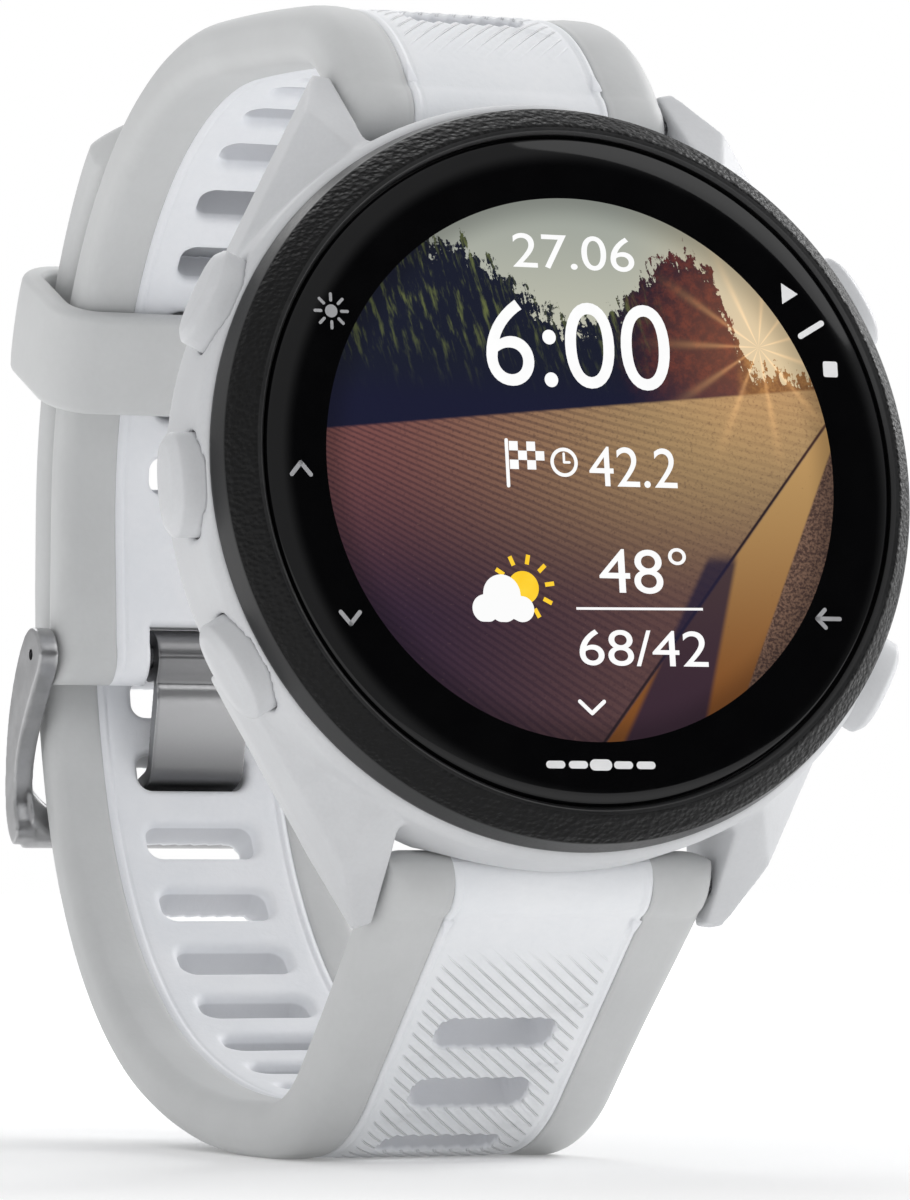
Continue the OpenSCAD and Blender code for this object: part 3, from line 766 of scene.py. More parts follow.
def rail_mesh(strap, side):
    """A soft rounded rail swept along one side of a strap."""
    shape = rail_section()
    near_bar = BARREL_R * np.sin(np.linspace(math.radians(-88), BAR_JOIN, 16))
    if strap.buckled:
        ends = strap.length + BARREL_R * np.sin(np.linspace(PIN_JOIN, math.radians(88), 14))
        stations = list(near_bar) + list(np.arange(1.3, ends[0] - 0.2, 0.42)) + list(ends)
    else:
        last = strap.length - 1.2
        ends = list(np.linspace(last - 4.6, last - 0.02, 26))
        stations = list(near_bar) + list(np.arange(1.3, ends[0] - 0.2, 0.42)) + ends
    rings, marks = [], []
    for s in stations:
        flare = 0.36 * math.exp(-((max(s, 0) / 9.0) ** 2))
        taper = 0.0 if strap.buckled else -0.35 * min(max((s - 30) / 60, 0), 1)
        if strap.buckled:
            taper = 0.12 * min(max((s - strap.length + 10) / 8, 0), 1)
        widest = STRAP_HALF + flare + taper
        width = float(strap.limit(s, widest)) - CORE_HALF
        width = max(width, 0.05)
        corner = 1.0
        if s < 1.0:
            corner = 1 - 0.05 * (1 - max(s + BARREL_R, 0) / (1.0 + BARREL_R)) ** 2
        across = shape[:, 0] / 3.6 * width * corner
        outer = float(strap.half(s, True)) / (STRAP_T / 2)
        inner = float(strap.half(s, False)) / (STRAP_T / 2)
        height = np.where(shape[:, 1] > 0, shape[:, 1] * outer, shape[:, 1] * inner)
        squeeze = min(1.0, width / 1.6)
        height = height * (0.55 + 0.45 * squeeze)
        x = side * (CORE_HALF + across)
        rings.append(on_strap(strap.start, strap.segs, x, np.full_like(x, s), strap.out * height))
        marks.append(np.stack([x, np.full_like(x, s), np.sign(height)], 1))
    verts, faces = loft(rings)
    return np.array(verts), faces, np.concatenate(marks)


def make_straps():
    long = Strap(LONG_START, LONG_SEGS, LONG_LEN, -1, *LONG_SLOTS, False)
    short = Strap(SHORT_START, SHORT_SEGS, SHORT_LEN, 1, *SHORT_SLOTS, True)
    for label, strap in (("lower", long), ("upper", short)):
        verts, faces, bands, marks = core_mesh(strap)
        core = build(f"{label}_strap_white_core", verts, faces, None, bands, marks, sharp=50)
        finish_piece(core, [RIBBED, WHITE], "watch", [f"{label}_strap_core"])
        sides = [rail_mesh(strap, 1), rail_mesh(strap, -1)]
        verts, faces = join_parts([(p[0], p[1]) for p in sides])
        marks = np.concatenate([p[2] for p in sides])
        rails = build(f"{label}_strap_grey_rails", verts, faces, None, None, marks, sharp=60)
        finish_piece(rails, [RAIL], "watch", [f"{label}_strap_edge"])
    nibs(long, short)


def nibs(long, short):
    """The small moulded nibs where each seam meets the strap's end at the lug."""
    parts = []
    for strap in (long, short):
        for side in (-1, 1):
            rings = []
            for s, w, h in ((1.1, 0.03, 0.0), (1.2, 0.3, 0.07), (1.5, 0.24, 0.11), (2.1, 0.12, 0.09),
                (2.7, 0.03, 0.0)):
                angle = np.linspace(0, 2 * math.pi, 12, endpoint=False)
                x = side * (5.72 + w * np.cos(angle))
                d = strap.half(np.full(12, s), True) - 0.06 + h + h * 0.5 * np.sin(angle)
                rings.append(on_strap(strap.start, strap.segs, x, np.full(12, s), strap.out * d))
            parts.append(loft(rings))
    obj = build("strap_seam_nibs", *join_parts(parts), sharp=60)
    finish_piece(obj, [WHITE], "watch", [])


# ---------------------------------------------------------------- keeper
def finer(points, gap):
    """A closed outline cut into steps no longer than about gap: (x, y, place in its side)."""
    out = []
    for a, b in zip(points, points[1:] + points[:1]):
        steps = max(1, int(math.dist(a, b) / gap))
        for k in range(steps):
            out.append((a[0] + (b[0] - a[0]) * k / steps, a[1] + (b[1] - a[1]) * k / steps, k))
    return out


def make_keeper():
    """A rounded silicone band swept round the section of the two straps."""
    low = LOOP_R - STRAP_T / 2 - KEEPER_GAP
    high = TAIL_R + STRAP_T / 2 + KEEPER_GAP
    wide = STRAP_HALF + KEEPER_GAP
    grow = KEEPER_T / 2
    box = [(-wide - grow, low - grow), (wide + grow, low - grow), (wide + grow, high + grow),
        (-wide - grow, high + grow)]
    line = rounded(box, 2.3, 12)
    dense = np.array([p[:2] for p in finer(line, 0.6)])
    ahead = np.roll(dense, -1, axis=0) - np.roll(dense, 1, axis=0)
    ahead /= np.hypot(*ahead.T)[:, None]
    normal = np.stack([ahead[:, 1], -ahead[:, 0]], 1)
    half_t, half_w, r = KEEPER_T / 2 - 0.01, KEEPER_W / 2, 0.52
    section = rounded([(-half_t, -half_w), (half_t + 0.02, -half_w), (half_t + 0.02, half_w),
        (-half_t, half_w)], [0.35, r, r, 0.35], 7)
    section = [(t + KEEPER_CROWN * (1 - (w / half_w) ** 2) * (t > 0), w) for t, w in section]
    fine = []
    for t, w, k in finer(section, 0.7):
        crown = KEEPER_CROWN * max(0.0, 1 - (w / half_w) ** 2) if t > 0 and k > 0 else 0.0
        fine.append((t + crown, w))
    rings = []
    for p, n in zip(dense, normal):
        rings.append([(p[0] + n[0] * t, p[1] + n[1] * t, w) for t, w in fine])
    verts, faces = loft(rings, closed=True)
    place = (
        Matrix.Translation(Vector((0, *LOOP_CENTRE)) * MM)
        @ Matrix.Rotation(math.radians(KEEPER_ANGLE - 90), 4, "X")
        @ Matrix.Rotation(math.radians(90), 4, "X")
    )
    obj = build("keeper_band", verts, faces, place, sharp=70)
    finish_piece(obj, [KEEPER], "keeper", ["keeper_loop"])


# ---------------------------------------------------------------- buckle
def slab(outline, x0, x1):
    """A plate between two x planes from a (y, z) outline."""
    return loft([[(x, *p) for p in np.array(outline, float)] for x in (x0, x1)])


def make_buckle():
    py, pz = PIN
    rel = [
        (-1.62, 0.55), (-0.9, 1.45), (0.15, 1.72), (1.25, 1.3), (2.3, 0.25), (3.45, -1.5), (4.4, -3.7),
        (4.95, -6.2), (5.08, -8.6), (4.88, -10.2), (4.3, -11.45), (3.45, -12.05), (2.75, -11.6),
        (2.72, -10.6), (3.2, -9.2), (3.05, -7.2), (2.3, -5.5), (1.1, -3.85), (-0.1, -2.45),
        (-1.3, -1.15), (-1.72, -0.3),
    ]
    outline = curve_through([(py + a, pz + b) for a, b in rel], 7)
    parts = []
    for side in (-1, 1):
        inner = side * FRAME_HALF
        outer = side * (FRAME_HALF + ARM_T)
        parts.append(slab(outline, min(inner, outer), max(inner, outer)))
    bar = []
    for p in rounded([(-1.3, -0.78), (1.3, -0.78), (1.3, 0.78), (-1.3, 0.78)], 0.7, 8):
        c, s = math.cos(BUCKLE_BAR_TURN), math.sin(BUCKLE_BAR_TURN)
        bar.append((py + 3.82 + p[0] * c - p[1] * s, pz - 11.0 + p[0] * s + p[1] * c))
    parts.append(slab(bar, -FRAME_HALF - 0.6, FRAME_HALF + 0.6))
    for side in (-1, 1):
        web = [(p[0], p[1]) for p in bar]
        rings = []
        for share in np.linspace(0, 1, 7):
            x = side * (FRAME_HALF + 0.2 - 2.2 * share)
            grow = (1 - share) ** 2
            centre = np.mean(web, axis=0)
            lift = np.array([0.0, 1.35]) * grow
            ring = [(x, *(centre + (np.array(p) - centre) * (1 + 0.28 * grow) + lift)) for p in web]
            rings.append(ring)
        parts.append(loft(rings))
    frame_piece = build("buckle_frame_steel", *join_parts(parts))
    soften(frame_piece, 0.10, 16)
    ends = (-PIN_END_X, PIN_END_X)
    holes = [slab(disc_outline(py, pz, 0.36, 32), x - 0.95, x + 0.95) for x in ends]
    bore = build("buckle_pin_bores", *join_parts(holes))
    cut_out(frame_piece, bore)
    shade(frame_piece.data, 40)
    finish_piece(frame_piece, [STEEL], "buckle", ["buckle_frame"])

    pin_rings = []
    half = FRAME_HALF + 0.3
    profile = [(half, 0.3), (half - 0.03, 0.6), (half - 0.15, PIN_R)]
    for x, r in [(-x, r) for x, r in profile] + profile[::-1]:
        pin_rings.append([(x, *p) for p in disc_outline(py, pz, r, 40)])
    pin = build("buckle_pin_steel", *loft(pin_rings), None, sharp=40)
    finish_piece(pin, [PIN_STEEL], "buckle", ["buckle_pin"])

    plate = [
        (-1.70, 0.0), (-1.62, -0.7), (-1.32, -1.45), (-1.22, -1.8), (-1.36, -2.15), (-1.36, -3.0),
        (-0.98, -4.6), (-0.52, -6.5), (-0.25, -7.4), (0.35, -8.08),
        (1.6, -8.58), (3.3, -9.15), (4.5, -9.6), (5.2, -9.82), (5.5, -9.5), (5.35, -9.02), (4.5, -8.62),
        (3.4, -8.22), (1.9, -7.66), (0.75, -7.22), (0.36, -6.5), (-0.08, -4.4), (-0.56, -2.3),
        (-0.72, -1.2), (-0.75, -0.55),
    ]
    outer = curve_through([(py + a, pz + b) for a, b in plate], 6)
    parts = [slab(outer, -TONGUE_W / 2, TONGUE_W / 2),
        slab(disc_outline(py, pz, 1.7), -TONGUE_W / 2, TONGUE_W / 2)]
    tongue = build("buckle_tongue_steel", *join_parts(parts))
    soften(tongue, 0.085, 5)
    bore = build("buckle_tongue_bore", *slab(disc_outline(py, pz, PIN_R + 0.05), -6, 6), None)
    cut_out(tongue, bore)
    shade(tongue.data, 40)
    finish_piece(tongue, [TONGUE], "tongue", ["buckle_tongue"])


# ---------------------------------------------------------------- case, bezel and glass
def make_case():
    """The case with soft moulded edges, and a close oval recess round each button."""
    obj = copy_of("case_body", "case_moulded", DIAL)
    fillers, cutters = [], []
    wall = [(20.5, -2.12), (21.1, -2.12), (CASE_R, -2.62), (CASE_R, -6.0), (20.5, -6.0)]
    for angle in BUTTONS.values():
        arc = np.radians(np.linspace(angle - 9.2, angle + 9.2, 33))
        fillers.append(loft([[(r * math.cos(a), r * math.sin(a), z) for r, z in wall] for a in arc]))
        turn = button_place(angle)
        rings = [[tuple(turn @ Vector(p)) for p in cap_ring(-0.09, z)] for z in (-1.25, 3.0)]
        cutters.append(loft(rings))
    filler = build("case_fillers", *join_parts(fillers))
    cutter = build("case_cutters", *join_parts(cutters))
    shape = bmesh.new()
    shape.from_mesh(obj.data)
    shape.from_mesh(filler.data)
    shape.to_mesh(obj.data)
    shape.free()
    cut_out(obj, cutter, use_self=True)
    bpy.data.objects.remove(filler)
    soften(obj, 0.17, 9)
    obj.data.transform(DIAL)
    finish_piece(obj, [CASE], "watch", ["case_body"])


def make_bezel():
    """The black ring: grained slope outside, smooth wall below and a polished step inside."""
    corners = [
        (18.86, 0.02), (18.86, 0.74), (19.04, 0.97), (19.4, 0.97), (20.42, -0.12), (20.68, -0.5),
        (20.95, -1.75), (20.95, -1.97), (17.5, -1.97), (17.5, -1.36), (18.6, -1.36), (18.6, 0.02),
    ]
    radii = [0.0, 0.1, 0.12, 0.3, 0.5, 0.3, 0.08, 0.05, 0.0, 0.0, 0.0, 0.0]
    outline = rounded(corners, radii, 6)

    def polished(a, b):
        return (a[0] + b[0]) / 2 <= 19.25 or (a[1] + b[1]) / 2 <= -0.42

    obj = turned_piece("bezel_black_ring", outline, polished, 50)
    finish_piece(obj, [BEZEL_GRAIN, BEZEL_SMOOTH], "watch", ["bezel_ring"])


def make_glass():
    top = GLASS_T
    outline = [
        (0.0, 0.02), (18.55, 0.02), (18.72, 0.1), (18.74, 0.55), (18.71, 0.66), (18.62, 0.75), (18.5, top),
        (17.0, top), (IMAGE_R + 0.12, top), (IMAGE_R, top), (12.0, top), (8.0, top), (4.0, top), (0.0, top),
    ]

    def image(a, b):
        return max(a[0], b[0]) <= IMAGE_R and min(a[1], b[1]) > 0.5

    obj = turned_piece("cover_glass_with_image", outline, image, 60)
    finish_piece(obj, [GLASS, ART], "watch", ["lens_glass"])


# ---------------------------------------------------------------- printed and shown marks
def prism(outline, height=INK_LIFT):
    """A very thin printed shape on the glass from an (x, u) outline."""
    pts = np.array(outline, float)
    area = np.sum(pts[:, 0] * np.roll(pts[:, 1], -1) - np.roll(pts[:, 0], -1) * pts[:, 1])
    if area < 0:
        pts = pts[::-1]
    rings = [[(p[0], p[1], GLASS_T - INK_SINK) for p in pts], [(p[0], p[1], GLASS_T + height) for p in pts]]
    return loft(rings)


def bar_shape(a, b, width, round_ends=True):
    ax, ay = a
    bx, by = b
    angle = math.atan2(by - ay, bx - ax)
    half = width / 2
    out = []
    spread = np.linspace(-math.pi / 2, math.pi / 2, 9) if round_ends else (-math.pi / 2, math.pi / 2)
    for k in spread:
        out.append((bx + half * math.cos(angle + k), by + half * math.sin(angle + k)))
    for k in spread:
        out.append((ax - half * math.cos(angle + k), ay - half * math.sin(angle + k)))
    return prism(out)


def bent(a, b, c, width):
    return [bar_shape(a, b, width), bar_shape(b, c, width)]


def spoke(x, y, angle, inner, outer, width, round_ends=True):
    c, s = math.cos(angle), math.sin(angle)
    return bar_shape((x + inner * c, y + inner * s), (x + outer * c, y + outer * s), width, round_ends)


def disc_shape(x, y, r, height=INK_LIFT):
    return prism(disc_outline(x, y, r, 40), height=height)


def ring_shape(x, y, r0, r1):
    rings = []
    for r, z in ((r1, -INK_SINK), (r1, INK_LIFT), (r0, INK_LIFT), (r0, -INK_SINK)):
        rings.append([(*p, GLASS_T + z) for p in disc_outline(x, y, r, 40)])
    return loft(rings, closed=True)


def marks(name, parts, ink, slot="cover_glass"):
    obj = build(name, *join_parts(parts), DIAL, sharp=40)
    finish_piece(obj, [ink], "watch", [])


def digits(name, text, x0, x1, u0, u1, ink):
    """Digits and signs filled into a box on the dial."""
    curve = bpy.data.curves.new(name, "FONT")
    curve.body = text
    curve.resolution_u = 8
    holder = bpy.data.objects.new(name + "_curve", curve)
    SCENE.collection.objects.link(holder)
    bpy.context.view_layer.update()
    graph = bpy.context.evaluated_depsgraph_get()
    mesh = bpy.data.meshes.new_from_object(holder.evaluated_get(graph))
    bpy.data.objects.remove(holder)
    bpy.data.curves.remove(curve)
    points = np.array([v.co[:] for v in mesh.vertices])
    low, high = points.min(0), points.max(0)
    points = (points - low) / np.maximum(high - low, 1e-9)
    faces = [tuple(p.vertices) for p in mesh.polygons]
    bpy.data.meshes.remove(mesh)
    flat = np.stack([x0 + points[:, 0] * (x1 - x0), u0 + points[:, 1] * (u1 - u0)], 1)
    count = len(flat)
    top = np.column_stack([flat, np.full(count, GLASS_T + INK_LIFT)])
    low = np.column_stack([flat, np.full(count, GLASS_T - INK_SINK)])
    walls = [(a, b, count + b, count + a) for a, b in open_edges(faces)]
    sides = faces + [tuple(count + i for i in f[::-1]) for f in faces] + walls
    obj = build(name, np.concatenate([top, low]), sides, DIAL, sharp=40)
    finish_piece(obj, [ink], "watch", [])


def make_screen():
    digits("screen_date_digits", "27.06", -3.6, 3.75, 11.2, 13.15, INK)
    digits("screen_time_digits", "6:00", -5.5, 5.6, 4.5, 9.35, INK)
    digits("screen_distance_digits", "42.2", 0.3, 5.6, -1.0, 1.25, INK)
    digits("screen_temperature_digits", "48°", 0.55, 5.85, -6.95, -4.35, INK)
    digits("screen_range_digits", "68/42", -0.9, 6.85, -11.0, -9.0, INK)
    lines = [bar_shape((-0.95, -7.85), (6.7, -7.75), 0.14, False)]
    lines += bent((-1.05, -13.0), (-0.35, -13.65), (0.4, -13.0), 0.22)
    marks("screen_lines", lines, INK, slot="display")
    flag = [bar_shape((-4.6, -1.1), (-4.6, 1.45), 0.2)]
    cell = 0.52
    for i in range(4):
        for j in range(3):
            if (i + j) % 2 == 0:
                x, y = -4.45 + i * cell, 1.4 - (j + 1) * cell
                flag.append(prism([(x, y), (x + cell, y), (x + cell, y + cell), (x, y + cell)]))
    flag.append(ring_shape(-1.2, 0.3, 0.62, 0.82))
    flag.append(bar_shape((-1.2, 0.3), (-1.2, 0.78), 0.14))
    flag.append(bar_shape((-1.2, 0.3), (-0.88, 0.3), 0.14))
    marks("screen_flag_icon", flag, INK, slot="display")
    sun_x, sun_y = -4.05, -6.75
    rays = [disc_shape(sun_x, sun_y, 0.92, 0.006)]
    for k in range(-2, 6):
        rays.append(spoke(sun_x, sun_y, math.radians(k * 35 + 8), 1.32, 1.86, 0.24, False))
    marks("screen_sun_icon", rays, SUN_INK, slot="display")
    circles = [(-5.35, -7.15, 1.1), (-6.35, -7.95, 0.78), (-4.2, -7.95, 0.72), (-5.3, -7.8, 0.9)]
    cx, cy = -5.3, -7.85
    outline = []
    for k in range(96):
        a = 2 * math.pi * k / 96
        dx, dy = math.cos(a), math.sin(a)
        best = 0.0
        for x, y, r in circles:
            b = (x - cx) * dx + (y - cy) * dy
            d = b * b - ((x - cx) ** 2 + (y - cy) ** 2 - r * r)
            if d > 0:
                best = max(best, b + math.sqrt(d))
        floor = (-8.68 - cy) / dy if dy < -1e-6 else 99.0
        best = min(best, floor)
        outline.append((cx + best * dx, cy + best * dy))
    marks("screen_cloud_icon", [prism(outline, height=0.02)], CLOUD_INK, slot="display")


def make_prints():
    lamp = [disc_shape(-14.55, 8.3, 0.36)]
    lamp += [spoke(-14.55, 8.3, math.pi * k / 4, 0.6, 0.95, 0.17) for k in range(8)]
    up = bent((-17.3, -0.8), (-16.75, -0.15), (-16.2, -0.8), 0.24)
    down = bent((-14.85, -8.3), (-14.3, -8.95), (-13.75, -8.3), 0.24)
    back = [bar_shape((13.7, -8.15), (15.1, -8.15), 0.24)]
    back += [bar_shape((13.7, -8.15), (14.2, -7.65), 0.24), bar_shape((13.7, -8.15), (14.2, -8.65), 0.24)]
    marks("glass_print_grey", lamp + up + down + back, PRINT_GREY)
    play = [prism([(12.75, 9.75), (12.75, 10.95), (13.75, 10.35)])]
    stop = [prism(rounded([(15.05, 5.65), (15.95, 5.65), (15.95, 6.55), (15.05, 6.55)], 0.12, 3))]
    divider = [spoke(0, 0, math.radians(30), 15.9, 17.45, 0.34)]
    marks("glass_print_white", play + stop + divider, PRINT_WHITE)
    dashes = []
    for k in range(-2, 3):
        x = k * 1.35
        dashes.append(bar_shape((x - 0.36, PLAIN_MARK_U), (x + 0.36, PLAIN_MARK_U), 0.42 if k else 0.62))
    marks("glass_print_plain_mark", dashes, PRINT_WHITE)


# ---------------------------------------------------------------- buttons
def cap_ring(inset, z, count=72):
    """One level of a cap: an oval a little fuller than an ellipse."""
    half_l = CAP_L / 2 + CAP_GROW - inset
    half_h = max(CAP_H / 2 - inset, 0.03)
    power = 2 / CAP_FULLNESS
    ring = []
    for k in range(count):
        a = 2 * math.pi * (k + 0.5) / count
        c, s = math.cos(a), math.sin(a)
        ring.append((half_l * math.copysign(abs(c) ** power, c),
            half_h * math.copysign(abs(s) ** power, s), z))
    return ring


def button_place(angle):
    """From a cap's own axes, z outward and x along the case, to dial coordinates."""
    return (
        Matrix.Rotation(math.radians(angle), 4, "Z")
        @ Matrix.Translation((CAP_BASE_R, 0, -BUTTON_Z))
        @ Matrix.Rotation(math.radians(90), 4, "Y")
        @ Matrix.Rotation(math.radians(90), 4, "Z")
    )


def make_button(label, angle):
    rings = []
    angles = np.linspace(0, 2 * math.pi, 72, endpoint=False) + math.pi / 72
    for r, z in ((0.1, -STEM_L), (STEM_R - 0.1, -STEM_L), (STEM_R, -STEM_L + 0.1), (STEM_R, -0.1),
        (STEM_R, 0.0)):
        rings.append([(r * math.cos(a), r * math.sin(a), z) for a in angles])
    shoulder = CAP_SIDE - 0.16
    skirt = [(0.34, 0.0), (0.3, -CAP_SKIRT), (0.0, -CAP_SKIRT)]
    for inset, z in skirt + [(0.0, 0.1), (0.0, 0.6), (0.0, shoulder)]:
        rings.append(cap_ring(inset, z))
    for k in range(1, 5):
        a = math.radians(45) * k / 4
        rings.append(cap_ring(0.22 * (1 - math.cos(a)), shoulder + 0.3 * math.sin(a)))
    edge = shoulder + 0.3 * math.sin(math.radians(45))
    top = CAP_SIDE + CAP_BEVEL - 0.1
    for inset, share in ((0.2, 0.28), (0.36, 0.62), (0.5, 0.86), (0.62, 0.96), (0.75, 1.0)):
        rings.append(cap_ring(inset, edge + (top - edge) * share))
    for inset in (0.95, 1.15, 1.35, 1.5, 1.6):
        crown = CAP_CROWN * (1 - ((CAP_H / 2 - inset) / (CAP_H / 2 - 0.75)) ** 2)
        rings.append(cap_ring(inset, top + crown))
    verts, faces = loft(rings)
    turn = button_place(angle)
    verts = [tuple(turn @ Vector(p)) for p in verts]
    obj = build(f"button_{label}_cap", verts, faces, DIAL, sharp=50)
    finish_piece(obj, [BUTTON], f"button_{label}_body", [f"button_{label}"])


# ---------------------------------------------------------------- back
def make_back():
    outline = [(0.0, -10.62), (1.5, -10.61), (3.0, -10.565), (4.3, -10.5), (5.15, -10.43),
        (5.6, -10.32), (5.9, -10.14)]
    outline += [(6.0, -9.95), (6.0, -8.72), (5.0, -8.72), (5.0, -9.55), (0.0, -9.55)]
    verts, faces = revolve(outline, 144)
    obj = build("sensor_window_dome", verts, faces, DIAL, sharp=50)
    finish_piece(obj, [SENSOR], "watch", ["sensor_window"])
    parts = []
    for r, w in ((6.6, 0.12), (15.9, 0.1)):
        rings = []
        for dr, dz in ((-w, 0.02), (0, -0.07), (w, 0.02), (0, 0.05)):
            rings.append([(*p, -10.1 + dz) for p in disc_outline(0, 0, r + dr, 144)])
        parts.append(loft(rings, closed=True))
    obj = build("back_cover_moulded_rings", *join_parts(parts), DIAL, sharp=60)
    finish_piece(obj, [BACK], "watch", [])


# ---------------------------------------------------------------- materials
def srgb(*values):
    """Linear colour from 0-255 display values."""
    out = []
    for v in values:
        v /= 255
        out.append(v / 12.92 if v <= 0.04045 else ((v + 0.055) / 1.055) ** 2.4)
    return tuple(out)


def strap_material(name, light, dark, ribbed, depth=0.00002):
    """Silicone with fine moulding grain, and on the outer face the ribs' sharp steps. On the white core a
    painted shade greys the walls of the slots, the notch and the edges.
    """
    made, net, shader = material(name)
    place = net.place()
    cloud = net.noise(place, 140.0, 4.0)
    fine = net.noise(place, 2300.0, 3.0, 0.6)
    tone = net.mix(net.step(net.plus(cloud, net.times(fine, 0.3)), 0.4, 0.95), dark, light)
    # Painted shade: on the white core the walls, marked 0.5 in local_mm, are greyed towards srgb(188, 189,
    # 193).
    if depth == WHITE_GRAIN:
        face = net.split(net.attribute("local_mm"))[2]
        inside = net.step(net.math("ABSOLUTE", net.less(face, 0.5)), 0.5, 0.3)
        tone = net.mix(net.times(inside, 0.55), tone, srgb(188, 189, 193))
    net.feed(
        shader,
        Base_Color=tone,
        Roughness=net.step(net.plus(cloud, fine), 0.7, 1.3, 0.5, 0.62),
    )
    normal = net.bump(fine, depth, 0.5)
    if ribbed:
        x, s, face = net.split(net.attribute("local_mm"))
        across = net.times(x, -math.sin(RIB_ANGLE) / RIB_PITCH)
        along = net.times(s, math.cos(RIB_ANGLE) / RIB_PITCH)
        turn = net.math("FRACT", net.plus(net.plus(across, along), 200.5))
        groove = net.step(net.math("ABSOLUTE", net.less(turn, 0.5)), 0.0, 0.13)
        margin = net.step(net.math("ABSOLUTE", x), 5.15, 4.85)
        begin = net.step(s, 3.0, 6.4)
        share = net.times(net.times(margin, begin), net.step(face, 0.9, 1.0))
        height = net.times(net.less(groove, 1.0), share)
        normal = net.bump(height, 0.00011, 1.0, normal)
    net.feed(
        shader,
        Normal=normal,
        Sheen_Weight=0.08,
        Sheen_Roughness=0.45,
        Specular_IOR_Level=0.42,
    )
    return made


def bezel_material():
    """Black polymer with a leather-like moulded grain."""
    made, net, shader = material("bezel_grained_black")
    place = net.place()
    warp = net.noise(place, 1500.0, 2.0)
    stretched = net.node("ShaderNodeMapping")
    net.feed(stretched, Vector=place, Scale=(1.0, 1.0, 1.35))
    cells = net.cells(stretched.outputs[0], 2700.0, 0.3)
    fine = net.noise(place, 6500.0, 3.0)
    height = net.plus(net.times(cells, 0.8), net.times(net.plus(warp, fine), 0.35))
    net.feed(
        shader,
        Base_Color=net.mix(net.step(height, 0.5, 1.1), srgb(3, 3, 3), srgb(11, 11, 12)),
        Roughness=net.step(height, 0.4, 1.1, 0.34, 0.52),
        Normal=net.bump(height, 0.00013, 0.9),
        Specular_IOR_Level=0.2,
    )
    return made


def flat_curve(net, value, points):
    """A smooth one-value curve: value runs over x from -16 to 16, and the result over u from -16 to 16."""
    made = net.node("ShaderNodeFloatCurve")
    net.put(made.inputs["Value"], net.plus(net.math("DIVIDE", value, 32.0), 0.5))
    curve = made.mapping.curves[0]
    ends = [(x / 32 + 0.5, u / 32 + 0.5) for x, u in points]
    curve.points[0].location = ends[0]
    curve.points[1].location = ends[-1]
    for x, u in ends[1:-1]:
        curve.points.new(x, u)
    made.mapping.update()
    return net.times(net.less(made.outputs[0], 0.5), 32.0)


def line_side(net, x, u, a, b, soft):
    """0 on the left of the line from a to b and 1 on its right, soft millimetres wide."""
    ax, ay = a
    bx, by = b
    length = math.hypot(bx - ax, by - ay)
    nx, ny = (ay - by) / length, (bx - ax) / length
    value = net.plus(net.times(x, nx), net.times(u, ny))
    value = net.less(value, ax * nx + ay * ny)
    return net.step(value, -soft, soft)


